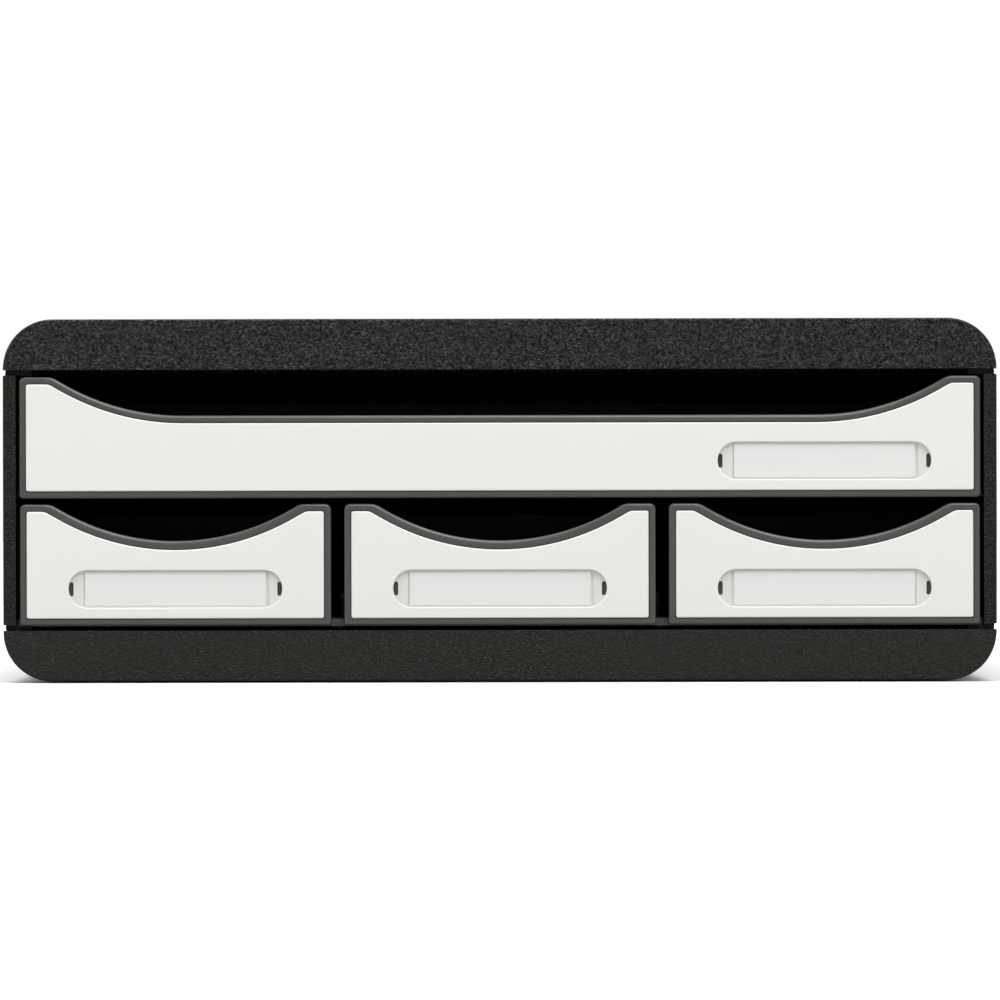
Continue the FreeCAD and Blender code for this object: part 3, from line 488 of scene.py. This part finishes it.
def show(node: str, mesh: BMesh, finish: bpy.types.Material, body: str) -> bpy.types.Object:
    """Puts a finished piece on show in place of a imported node.

    Args:
        node: The node that it stands for, which names it.
        mesh: Its mesh, which is used up.
        finish: Its material.
        body: The body that it rides on.

    Returns:
        The piece.
    """
    bmesh.ops.remove_doubles(mesh, verts=mesh.verts[:], dist=0.001 * MM)
    for face in mesh.faces:
        face.smooth = True
    for edge in mesh.edges:
        edge.smooth = edge.is_manifold and edge.calc_face_angle() < SHARP_ANGLE
    gaps = sum(not edge.is_manifold for edge in mesh.edges)
    piece = as_object(f"{node}_dressed", mesh)
    piece.data.materials.append(finish)
    leveller = piece.modifiers.new("even_faces", "WEIGHTED_NORMAL")
    leveller.keep_sharp = True
    leveller.weight = 100
    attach(piece, body)
    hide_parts(node)
    log.info("%s: %d faces, %d open edges, rides on %s", piece.name, len(piece.data.polygons), gaps, body)
    return piece


def dress(node: str, finish: bpy.types.Material) -> None:
    """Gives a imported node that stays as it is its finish."""
    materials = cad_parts[node].data.materials
    materials.clear()
    materials.append(finish)
    log.info("%s: dressed with %s", node, finish.name)


# Drawers

@dataclass(frozen=True)
class Scoop:
    """The finger scoop in a front's top edge; run is from the straight top edge to its lowest point."""

    run: float
    slope: float = math.radians(29.5)
    arc_share: float = 0.9

    @property
    def radius(self) -> float:
        """The radius of its arc."""
        return self.arc_share * self.run / math.sin(self.slope)

    @property
    def depth(self) -> float:
        """From the front's top edge to its lowest point."""
        flank = (1.0 - self.arc_share) * self.run * math.tan(self.slope)
        return self.radius * (1.0 - math.cos(self.slope)) + flank


@dataclass(frozen=True)
class Front:
    """The outline of a drawer's rim, or of the recess or the white panel that lie inside it."""

    middle: float
    half: float
    foot: float
    head: float
    flat: float
    radius: float
    low: float
    slope: float

    def inset(self, side: float, foot: float, head: float, scoop: float) -> "Front":
        """Gives the outline that lies inside this one by these gaps."""
        return replace(self, half=self.half - side, foot=self.foot + foot, head=self.head - head,
                       radius=self.radius + scoop, low=self.low - scoop)

    def path(self, corner: float, foot_corner: float, shoulder: float) -> Path:
        """Gives the outline's corners and arcs, from the middle of its foot to the right.

        Args:
            corner: The radius of its upper corners.
            foot_corner: The radius of its lower corners.
            shoulder: The radius where its top edge turns into the scoop.

        Returns:
            The path that Relief.outline draws.
        """
        x = self.middle
        flank = self.flat + self.radius * math.sin(self.slope)
        rise = self.low + self.radius * (1.0 - math.cos(self.slope))
        edge = flank + (self.head - rise) / math.tan(self.slope)
        centre = self.low + self.radius
        scoop: Path = [Bend(x, centre, 2.0 * self.slope, SCOOP_STEPS)]
        if self.flat:
            half = SCOOP_STEPS // 2
            scoop = [Bend(x + self.flat, centre, self.slope, half), Corner(x - self.flat, self.low),
                     Bend(x - self.flat, centre, self.slope, half)]
        return [
            Corner(x, self.foot),
            Corner(x + self.half, self.foot, foot_corner),
            Corner(x + self.half, self.head, corner),
            Corner(x + edge, self.head, shoulder),
            Corner(x + flank, rise),
            *scoop,
            Corner(x - edge, self.head, shoulder),
            Corner(x - self.half, self.head, corner),
            Corner(x - self.half, self.foot, foot_corner),
        ]


def capsule(x: float, z: float, end: float, radius: float) -> Path:
    """Gives the path of a bar with half-round ends; end is from its middle to their centres."""
    return [
        Corner(x - end, z - radius),
        Corner(x + end, z - radius),
        Bend(x + end, z, -math.pi, END_STEPS),
        Corner(x - end, z + radius),
        Bend(x - end, z, -math.pi, END_STEPS),
    ]


def ring(x: float, z: float, radius: float) -> Path:
    """Gives the path of a circle about a point."""
    return [Corner(x + radius, z), Bend(x, z, -2.0 * math.pi, END_STEPS)]


@dataclass(frozen=True)
class Label:
    """A label holder: the recess in a white panel, its card and its clear window.

    The gap beside the card is wider at its loose side, which is 1 on the right and -1 on the left.
    """

    x: float
    z: float
    loose_side: int
    width: float = 76.4 * MM
    height: float = 13.33 * MM
    depth: float = 1.2 * MM
    rim_round: float = 0.35 * MM
    rim_steps: int = 3
    slot_width: float = 1.8 * MM
    slot_height: float = 4.9 * MM
    slot_inset: float = 0.05 * MM
    slot_corner: float = 0.5 * MM
    window_gap: float = 0.25 * MM
    window_lift: float = 0.03 * MM
    window_thickness: float = 0.75 * MM
    window_round: float = 0.2 * MM
    window_steps: int = 2
    card_end_gap: float = 4.1 * MM
    card_edge_gap: float = 0.7 * MM
    card_thickness: float = 0.25 * MM
    card_corner: float = 0.3 * MM
    groove_width: float = 0.5 * MM
    loose_groove_width: float = 1.2 * MM
    groove_depth: float = 0.5 * MM

    @property
    def radius(self) -> float:
        """Half the recess's height."""
        return self.height / 2.0

    @property
    def end(self) -> float:
        """From the recess's middle to the centre of its round end."""
        return self.width / 2.0 - self.radius

    @property
    def slot_inner(self) -> float:
        """From the recess's middle to the inner edge of a thumb slot."""
        return self.width / 2.0 - self.slot_width

    def notch(self, radius: float) -> tuple[float, float, float]:
        """Gives where a thumb slot's corners lie on a round end.

        Args:
            radius: The radius of the end that the slot cuts.

        Returns:
            How far out they lie, how far up or down, and the half angle between them.
        """
        lift = self.slot_height / 2.0
        half_angle = math.asin(lift / radius)
        return self.end + radius * math.cos(half_angle), lift, half_angle

    def thumb_slot(self, side: int) -> Path:
        """Gives the path of the thumb slot at one end; side is 1 on the right and -1 on the left."""
        outer, lift, half_angle = self.notch(self.radius - self.slot_inset)
        inner = self.x + side * self.slot_inner
        return [
            Corner(inner, self.z),
            Corner(inner, self.z - side * lift, self.slot_corner),
            Corner(self.x + side * outer, self.z - side * lift),
            Bend(self.x + side * self.end, self.z, -2.0 * half_angle, NOTCH_STEPS),
            Corner(inner, self.z + side * lift, self.slot_corner),
        ]

    def groove(self, side: int) -> Path:
        """Gives the path of the narrow groove in the floor at one end of the card."""
        width = self.loose_groove_width if side == self.loose_side else self.groove_width
        near, far = sorted((side * self.card_end, side * (self.card_end + width)))
        up = self.radius - self.card_edge_gap
        return [Corner(self.x + near, self.z - up), Corner(self.x + far, self.z - up),
                Corner(self.x + far, self.z + up), Corner(self.x + near, self.z + up)]

    @property
    def card_end(self) -> float:
        """From the recess's middle to the end of the card."""
        return self.slot_inner - self.card_end_gap

    def card(self, floor: float) -> BMesh:
        """Builds the blank card that lies on the recess's floor."""
        relief = Relief()
        across = self.card_end
        up = self.radius - self.card_edge_gap
        corners = [(across, -up), (across, up), (-across, up), (-across, -up)]
        path = [Corner(self.x, self.z - up)]
        path += [Corner(self.x + dx, self.z + dz, self.card_corner) for dx, dz in corners]
        front = relief.outline(floor - self.card_thickness, path)
        relief.cover(front)
        relief.cover(relief.sweep(front, self.card_thickness))
        return relief.mesh

    def window(self, floor: float) -> BMesh:
        """Builds the clear window over the card, notched where the thumb slots are."""
        relief = Relief()
        radius = self.radius - self.window_gap
        outer, lift, half_angle = self.notch(radius)
        quarter = math.pi / 2.0 - half_angle
        path: Path = [Corner(self.x - self.end, self.z - radius)]
        for side in (1, -1):
            path += [
                Corner(self.x + side * self.end, self.z - side * radius),
                Bend(self.x + side * self.end, self.z, -quarter, END_STEPS // 2),
                Corner(self.x + side * self.slot_inner, self.z - side * lift),
                Corner(self.x + side * self.slot_inner, self.z + side * lift),
                Corner(self.x + side * outer, self.z + side * lift),
                Bend(self.x + side * self.end, self.z, -quarter, END_STEPS // 2),
            ]
        face = floor - self.card_thickness - self.window_thickness
        front = relief.outline(face, path)
        relief.cover(front)
        relief.cover(relief.sweep(front, self.window_thickness - self.window_lift))
        relief.soften(self.window_round, self.window_steps, lambda edge: lies(edge, Y, face))
        return relief.mesh


@dataclass(frozen=True)
class WhitePanel:
    """The white panel in a drawer's rim, with its label recess, thumb slots and pins."""

    front: Front
    label: Label
    face: float
    back: float
    pins: tuple[float, ...]
    corner: float = 0.8 * MM
    shoulder: float = 4.0 * MM
    edge_round: float = 0.5 * MM
    edge_steps: int = 4
    pin_radius: float = 1.5 * MM
    pin_length: float = 2.3 * MM

    def build(self) -> BMesh:
        """Builds the panel from its face to the tips of its pins."""
        relief = Relief()
        label = self.label
        outer = relief.outline(self.face, self.front.path(self.corner, self.corner, self.shoulder))
        rim = relief.outline(self.face, capsule(label.x, label.z, label.end, label.radius))
        relief.cover(outer, rim)
        floor = relief.sweep(rim, label.depth)
        floor_plane = self.face + label.depth
        slots = [relief.outline(floor_plane, label.thumb_slot(side)) for side in (-1, 1)]
        grooves = [relief.outline(floor_plane, label.groove(side)) for side in (-1, 1)]
        relief.cover(floor, *slots, *grooves)
        for groove in grooves:
            relief.cover(relief.sweep(groove, label.groove_depth))
        ends = [relief.sweep(slot, self.back - floor_plane) for slot in slots]
        relief.cover(relief.sweep(outer, self.back - self.face), *ends)
        relief.soften(label.rim_round, label.rim_steps,
                      lambda edge: lies(edge, Y, self.face) and self.on_label(edge))
        relief.soften(self.edge_round, self.edge_steps,
                      lambda edge: lies(edge, Y, self.face) and not self.on_label(edge))
        for x in self.pins:
            start = relief.outline(self.back, ring(x, label.z, self.pin_radius))
            relief.cover(start)
            relief.cover(relief.sweep(start, self.pin_length))
        return relief.mesh

    def on_label(self, edge: BMEdge) -> bool:
        """Says whether an edge lies on or in the label recess."""
        reach = self.label.width / 2.0 + 2.0 * self.label.rim_round
        lift = self.label.radius + 2.0 * self.label.rim_round
        return all(abs(vert.co.x - self.label.x) < reach and abs(vert.co.z - self.label.z) < lift
                   for vert in edge.verts)


@dataclass(frozen=True)
class Tray:
    """A drawer's tray: the scooped front with its rim, and the box behind it."""

    front: Front
    recess: Front
    face: float
    rear: float
    floor: float
    pins: tuple[float, ...]
    pin_height: float
    extras: tuple[tuple[Vector, Vector], ...]
    plate: float = 4.5 * MM
    recess_depth: float = 2.0 * MM
    corner: float = 2.0 * MM
    foot_corner: float = 1.2 * MM
    shoulder: float = 6.0 * MM
    recess_corner: float = 1.1 * MM
    recess_shoulder: float = 4.3 * MM
    rim_round: float = 1.0 * MM
    scoop_round: float = 2.2 * MM
    round_steps: int = 6
    hole_radius: float = 1.6 * MM
    wall: float = 2.0 * MM
    side_inset: float = 1.8 * MM
    drop: float = 4.0 * MM
    rear_corner: float = 6.0 * MM
    rear_steps: int = 10
    floor_round: float = 1.5 * MM
    floor_steps: int = 5
    wall_round: float = 0.6 * MM
    wall_steps: int = 4
    root: float = 0.5 * MM

    def build(self) -> BMesh:
        """Builds the tray in one skin."""
        additions = [self.build_box()]
        for low, high in self.extras:
            addition = bmesh.new()
            block(addition, low, high)
            additions.append(addition)
        return unite(self.build_plate(), additions)

    def edge_outlines(self, relief: Relief) -> list[list[BMEdge]]:
        """Draws the outlines that round the rim's outer edge, from the outermost to that in the face."""
        loops = []
        for step in range(self.round_steps + 1):
            angle = math.pi / 2.0 * step / self.round_steps
            inset = self.rim_round * (1.0 - math.cos(angle))
            front = self.front.inset(inset, inset, inset, self.scoop_round * (1.0 - math.cos(angle)))
            path = front.path(self.corner - inset, self.foot_corner - inset, self.shoulder - inset)
            loops.append(relief.outline(self.face + self.rim_round * (1.0 - math.sin(angle)), path))
        return loops

    def build_plate(self) -> BMesh:
        """Builds the front: a rim round a recess, with holes for the white panel's pins."""
        relief = Relief()
        loops = self.edge_outlines(relief)
        for first, second in zip(loops, loops[1:]):
            relief.join(first, second)
        rim = relief.outline(self.face, self.recess.path(self.recess_corner, self.recess_corner,
                                                         self.recess_shoulder))
        relief.cover(loops[-1], rim)
        floor = relief.sweep(rim, self.recess_depth)
        holes = [relief.outline(self.face + self.recess_depth, ring(x, self.pin_height, self.hole_radius))
                 for x in self.pins]
        relief.cover(floor, *holes)
        ends = [relief.sweep(hole, self.plate - self.recess_depth) for hole in holes]
        relief.cover(relief.sweep(loops[0], self.plate - self.rim_round), *ends)
        bmesh.ops.recalc_face_normals(relief.mesh, faces=relief.mesh.faces[:])
        return relief.mesh

    def build_box(self) -> BMesh:
        """Builds the box: floor, sides and rear, open at the top and rooted in the front."""
        mesh = bmesh.new()
        half = self.front.half - self.side_inset
        top = self.front.head - self.drop
        start = self.face + self.plate - self.root
        block(mesh, Vector((self.front.middle - half, start, self.floor)),
              Vector((self.front.middle + half, self.rear, top)))
        soften(mesh, self.rear_corner, self.rear_steps,
               lambda edge: runs(edge, Z) and lies(edge, Y, self.rear))
        open_up(mesh, (Z, 1.0), (Y, -1.0))
        bmesh.ops.solidify(mesh, geom=mesh.faces[:], thickness=self.wall)
        bmesh.ops.recalc_face_normals(mesh, faces=mesh.faces[:])
        soften(mesh, self.floor_round, self.floor_steps, lambda edge: lies(edge, Z, self.floor + self.wall))
        soften(mesh, self.wall_round, self.wall_steps,
               lambda edge: lies(edge, Z, top) and not lies(edge, Y, start))
        return mesh


@dataclass(frozen=True)
class DrawerFinishes:
    """The materials of a drawer's four pieces."""

    tray: bpy.types.Material
    panel: bpy.types.Material
    card: bpy.types.Material
    window: bpy.types.Material


@dataclass
class Drawer:
    """One drawer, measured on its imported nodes."""

    name: str
    wide: bool
    loose_side: int
    finishes: DrawerFinishes
    wide_shoulder: float = 11.6 * MM
    narrow_shoulder: float = 10.9 * MM
    wide_run: float = 47.1 * MM
    trim_side: float = 2.5 * MM
    trim_foot: float = 2.55 * MM
    trim_head: float = 2.6 * MM
    wide_trim_scoop: float = 2.75 * MM
    narrow_trim_scoop: float = 3.25 * MM
    panel_gap: float = 0.3 * MM
    panel_proud: float = 0.3 * MM
    wide_floor_rise: float = 2.9 * MM
    narrow_floor_rise: float = 2.6 * MM
    lug_height: float = 8.0 * MM
    lug_length: float = 6.0 * MM
    nub_width: float = 8.0 * MM
    wide_pin_shares: tuple[float, ...] = (-0.93, -0.33, 0.33, 0.93)
    narrow_pin_shares: tuple[float, ...] = (-0.85, 0.85)

    def __post_init__(self) -> None:
        """Reads the drawer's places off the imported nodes."""
        self.panel_low, self.panel_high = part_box(f"{self.name}_front_panel")
        self.tray_low, self.tray_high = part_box(f"{self.name}_tray")
        self.middle = (self.panel_low.x + self.panel_high.x) / 2.0
        self.half = (self.panel_high.x - self.panel_low.x) / 2.0 + self.trim_side
        self.face = self.tray_low.y
        self.foot = self.panel_low.z - self.trim_foot
        self.head = self.panel_high.z + self.trim_head
        card_low, card_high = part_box(f"{self.name}_label_card")
        self.label = Label((card_low.x + card_high.x) / 2.0, (card_low.z + card_high.z) / 2.0,
                           self.loose_side)

    def front(self) -> Front:
        """Gives the outline of the rim."""
        scoop = Scoop(self.wide_run if self.wide else self.half - self.narrow_shoulder)
        flat = self.half - self.wide_shoulder - scoop.run if self.wide else 0.0
        return Front(self.middle, self.half, self.foot, self.head, flat, scoop.radius,
                     self.head - scoop.depth, scoop.slope)

    def pins(self) -> tuple[float, ...]:
        """Gives where the white panel's pins stand across."""
        shares = self.wide_pin_shares if self.wide else self.narrow_pin_shares
        return tuple(self.middle + share * self.half for share in shares)

    def stops(self, floor: float, front: Front) -> tuple[tuple[Vector, Vector], ...]:
        """Gives the corners of the stop lugs at the wide tray's sides, or of the nub under a narrow one."""
        rear = self.tray_high.y
        if not self.wide:
            half = self.nub_width / 2.0
            return ((Vector((self.middle - half, rear - self.lug_length, self.tray_low.z)),
                     Vector((self.middle + half, rear, floor + Tray.wall / 2.0))),)
        lug_rear = rear - Tray.rear_corner
        wall = front.half - Tray.side_inset - Tray.wall / 2.0
        top = floor + self.lug_height
        return (
            (Vector((self.tray_low.x, lug_rear - self.lug_length, floor)),
             Vector((self.middle - wall, lug_rear, top))),
            (Vector((self.middle + wall, lug_rear - self.lug_length, floor)),
             Vector((self.tray_high.x, lug_rear, top))),
        )

    def build(self) -> None:
        """Builds and dresses the drawer's four pieces."""
        front = self.front()
        scoop_trim = self.wide_trim_scoop if self.wide else self.narrow_trim_scoop
        panel = front.inset(self.trim_side, self.trim_foot, self.trim_head, scoop_trim)
        gap = self.panel_gap
        recess = panel.inset(-gap, -gap, -gap, -gap)
        floor = self.foot + (self.wide_floor_rise if self.wide else self.narrow_floor_rise)
        tray = Tray(front, recess, self.face, self.tray_high.y, floor, self.pins(), self.label.z,
                    self.stops(floor, front))
        self.show("tray", tray.build(), self.finishes.tray, Slot.TRAY)
        face = self.face - self.panel_proud
        white = WhitePanel(panel, self.label, face, self.face + tray.recess_depth, self.pins())
        self.show("front_panel", white.build(), self.finishes.panel, Slot.FRONT)
        floor_plane = face + self.label.depth
        self.show("label_card", self.label.card(floor_plane), self.finishes.card, Slot.CARD)
        self.show("label_window", self.label.window(floor_plane), self.finishes.window, Slot.WINDOW)

    def show(self, piece: str, mesh: BMesh, finish: bpy.types.Material, slot: Slot) -> None:
        """Puts one of the drawer's pieces on show."""
        show(f"{self.name}_{piece}", mesh, finish, self.name)


# Case

FEET = ("front_left_foot", "front_right_foot", "rear_left_foot", "rear_right_foot")


@dataclass(frozen=True)
class Cap:
    """A moulded cap: a shell with two big round corners, closed outside and ribbed inside."""

    node: str
    outward: int
    corner: float = 17.7 * MM
    corner_steps: int = 28
    wall: float = 2.5 * MM
    edge_round: float = 0.8 * MM
    edge_steps: int = 5
    rib_wall: float = 1.6 * MM
    socket_rib: float = 169.8 * MM
    socket_rib_height: float = 13.46 * MM
    seat_gap: float = 0.3 * MM
    seat_steps: int = 48
    long_rib_shares: tuple[float, ...] = (-0.62, 0.0, 0.62)
    cross_rib_shares: tuple[float, ...] = (-0.72, -0.24, 0.24, 0.72)

    def build(self) -> BMesh:
        """Builds the cap between its outer face and its seam."""
        low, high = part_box(self.node)
        outer, seam = (high.z, low.z) if self.outward > 0 else (low.z, high.z)
        mesh = bmesh.new()
        block(mesh, low, high)
        soften(mesh, self.corner, self.corner_steps, lambda edge: runs(edge, Y) and lies(edge, Z, outer))
        open_up(mesh, (Z, -self.outward))
        bmesh.ops.solidify(mesh, geom=mesh.faces[:], thickness=self.wall)
        bmesh.ops.recalc_face_normals(mesh, faces=mesh.faces[:])
        soften(mesh, self.edge_round, self.edge_steps, lambda edge: not lies(edge, Z, seam)
               and (lies(edge, Y, low.y) or lies(edge, Y, high.y)))
        return unite(mesh, self.straight_ribs(low, high, seam) + self.cross_ribs(high, outer, seam),
                     self.foot_seats() if self.outward < 0 else ())

    def straight_ribs(self, low: Vector, high: Vector, seam: float) -> list[BMesh]:
        """Builds the ribs that run from the front to the back, up from the seam's plane."""
        ribs = []
        root = self.wall / 2.0
        full = high.z - low.z - root
        outer = self.socket_rib - self.rib_wall / 2.0
        places = [(share * high.x, full) for share in self.long_rib_shares]
        places += [(-outer, self.socket_rib_height), (outer, self.socket_rib_height)]
        for x, height in places:
            rib = bmesh.new()
            half = self.rib_wall / 2.0
            end = seam + self.outward * height
            block(rib, Vector((x - half, low.y + root, min(seam, end))),
                  Vector((x + half, high.y - root, max(seam, end))))
            ribs.append(rib)
        return ribs

    def cross_ribs(self, high: Vector, outer: float, seam: float) -> list[BMesh]:
        """Builds the ribs that run across and follow the round corners.

        Args:
            high: The cap's highest corner.
            outer: The plane of its flat outer face.
            seam: The plane that they start from.

        Returns:
            A closed solid for each rib.
        """
        ribs = []
        reach = self.socket_rib - self.rib_wall / 2.0
        centre_x = high.x - self.corner
        centre_z = outer - self.outward * self.corner
        radius = self.corner - self.wall / 2.0
        angle = math.asin((reach - centre_x) / radius)
        start = centre_z + self.outward * radius * math.cos(angle)
        turn = -self.outward * angle
        path: Path = [
            Corner(0.0, seam),
            Corner(reach, seam),
            Corner(reach, start),
            Bend(centre_x, centre_z, turn),
            Corner(-centre_x, centre_z + self.outward * radius),
            Bend(-centre_x, centre_z, turn),
            Corner(-reach, seam),
        ]
        for share in self.cross_rib_shares:
            rib = Relief()
            face = rib.outline(share * high.y - self.rib_wall / 2.0, path)
            rib.cover(face)
            rib.cover(rib.sweep(face, self.rib_wall))
            ribs.append(rib.mesh)
        return ribs

    def foot_seats(self) -> list[BMesh]:
        """Gives the space of the four round seats that the feet stick in."""
        seats = []
        for name in FEET:
            low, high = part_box(name)
            radius = (high.x - low.x) / 2.0 + self.seat_gap
            seat = bmesh.new()
            made = bmesh.ops.create_cone(seat, cap_ends=True, segments=self.seat_steps, radius1=radius,
                                         radius2=radius, depth=2.0 * high.z)
            bmesh.ops.translate(seat, vec=((low.x + high.x) / 2.0, (low.y + high.y) / 2.0, 0.0),
                                verts=made["verts"])
            seats.append(seat)
        return seats


@dataclass(frozen=True)
class Case:
    """The case with its finishes: two caps, two side panels, the back panel, the shelf and the feet."""

    top: bpy.types.Material
    base: bpy.types.Material
    walls: bpy.types.Material
    shelf: bpy.types.Material
    feet: bpy.types.Material

    def build(self) -> None:
        """Builds the caps and dresses the other pieces."""
        for node, outward, finish in (("top_cap", 1, self.top), ("bottom_cap", -1, self.base)):
            show(node, Cap(node, outward).build(), finish, "case")
        for node in ("left_side_panel", "right_side_panel", "back_panel"):
            dress(node, self.walls)
        dress("small_drawer_shelf", self.shelf)
        for node in FEET:
            dress(node, self.feet)


# Studio

@dataclass(frozen=True)
class Lamp:
    """A soft rectangular lamp that looks at the object."""

    name: str
    place: Vector
    width: float
    height: float
    power: float
    target: Vector = Vector((0.0, -0.1, 0.065))

    def build(self) -> None:
        """Puts the lamp in the scene."""
        data = bpy.data.lights.new(self.name, "AREA")
        data.shape = "RECTANGLE"
        data.size = self.width
        data.size_y = self.height
        data.energy = self.power
        lamp = bpy.data.objects.new(self.name, data)
        bpy.context.scene.collection.objects.link(lamp)
        lamp.location = self.place
        lamp.rotation_euler = (self.target - self.place).to_track_quat("-Z", "Y").to_euler()


@dataclass
class Studio:
    """The pale floor, the white room, the lamps and the camera."""

    room_light: float = 0.37
    room_dim: float = 0.22
    room_span: Span = (-0.4, 0.3)
    floor_half: float = 6.0
    floor_level: float = 0.9
    floor_spread: Span = (0.88 / 0.9, 1.0)
    floor_clouds: Noise = Noise(0.4)
    floor_roughness: float = 0.9
    floor_specular: float = 0.1
    floor_bounce: float = 0.4
    floor_fade: Span = (0.3, 0.6)
    frame_width: float = 357.1 * MM
    camera_distance: float = 1.8
    sensor: float = 36.0
    view_x: float = 0.05 * MM
    view_z: float = 65.16 * MM
    roll: float = math.radians(0.11)

    def build(self, low: Vector, high: Vector) -> None:
        """Sets up the studio round an object between its lowest and its highest corner."""
        self.add_floor(low.z)
        self.add_room()
        for lamp in (
            Lamp("key", Vector((0.4, -1.2, 1.8)), 1.2, 1.0, 31.0),
            Lamp("over", Vector((-0.2, 0.1, 1.4)), 1.6, 0.9, 24.0),
            Lamp("left", Vector((-1.5, -0.7, 0.5)), 0.5, 1.0, 5.0),
            Lamp("right", Vector((1.5, -0.7, 0.5)), 0.5, 1.0, 6.0),
            Lamp("spark", Vector((-1.1, -0.8, 1.1)), 0.2, 0.2, 2.5),
        ):
            lamp.build()
        self.add_camera(low.y)
        bpy.context.scene.view_settings.view_transform = "Standard"

    def add_floor(self, height: float) -> None:
        """Lays the floor."""
        mesh = bmesh.new()
        bmesh.ops.create_grid(mesh, x_segments=1, y_segments=1, size=self.floor_half)
        bmesh.ops.translate(mesh, vec=(0.0, 0.0, height), verts=mesh.verts)
        floor = as_object("floor", mesh)
        nodes = Nodes("pale_floor")
        clouds = nodes.vary(nodes.noise(self.floor_clouds), self.floor_level, self.floor_spread)
        seen = nodes.add("ShaderNodeLightPath").outputs["Is Camera Ray"]
        away = nodes.add("ShaderNodeVectorMath", vector=nodes.place)
        away.operation = "LENGTH"
        far = nodes.stretch(away.outputs["Value"], self.floor_fade)
        nodes.set(base_color=nodes.blend(seen, tone(self.floor_bounce), clouds),
                  roughness=self.floor_roughness, specular_ior_level=self.floor_specular,
                  emission_color=tone(1.0), emission_strength=nodes.calculate("MULTIPLY", far, seen))
        floor.data.materials.append(nodes.material)
        floor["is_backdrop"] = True

    def add_room(self) -> None:
        """Makes the white room: white behind the object, dimmer where the viewer stands."""
        world = bpy.data.worlds.new("room")
        bpy.context.scene.world = world
        world.use_nodes = True
        room = Tree(world.node_tree)
        lit = room.tree.nodes["Background"]
        room.fill(lit, color=tone(1.0), strength=self.room_light)
        rays = room.add("ShaderNodeLightPath").outputs
        place = room.add("ShaderNodeTexCoord").outputs["Generated"]
        depth = room.add("ShaderNodeSeparateXYZ", vector=place).outputs["Y"]
        behind = room.stretch(depth, self.room_span, (self.room_dim, 1.0))
        white = room.calculate("MAXIMUM", rays["Is Camera Ray"], behind)
        seen = room.add("ShaderNodeBackground", color=tone(1.0), strength=white)
        sight = room.calculate("MAXIMUM", rays["Is Camera Ray"], rays["Is Glossy Ray"])
        share = room.calculate("MAXIMUM", sight, rays["Is Transmission Ray"])
        mix = room.add("ShaderNodeMixShader")
        for socket, content in zip(mix.inputs, (share, lit.outputs[0], seen.outputs[0])):
            room.feed(socket, content)
        room.feed(room.tree.nodes["World Output"].inputs["Surface"], mix.outputs[0])

    def add_camera(self, front: float) -> None:
        """Stands the camera straight before the fronts, framed as in the photo."""
        data = bpy.data.cameras.new("camera")
        data.sensor_width = self.sensor
        data.lens = self.sensor * self.camera_distance / self.frame_width
        camera = bpy.data.objects.new("camera", data)
        bpy.context.scene.collection.objects.link(camera)
        camera.location = (self.view_x, front - self.camera_distance, self.view_z)
        camera.rotation_euler = (math.pi / 2.0, self.roll, 0.0)
        bpy.context.scene.camera = camera


def main() -> None:
    """Builds the drawers, the case and the studio."""
    logging.basicConfig(level=logging.INFO, format="%(message)s")
    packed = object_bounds()
    tray_grey = SATIN_GREY.material()
    finishes = DrawerFinishes(tray_grey, SMOOTH_WHITE.material(), PAPER.material(), CLEAR.material())
    Case(COARSE_GLINT_BLACK.material(), FINE_BLACK.material(), DULL_SHADED_BLACK.material(), tray_grey,
         RUBBER.material()).build()
    for name, wide, loose_side in (("large_drawer", True, 1), ("left_drawer", False, 1),
                                   ("middle_drawer", False, 1), ("right_drawer", False, -1)):
        Drawer(name, wide, loose_side, finishes).build()
    Studio().build(*packed)


if __name__ == "__main__":
    main()
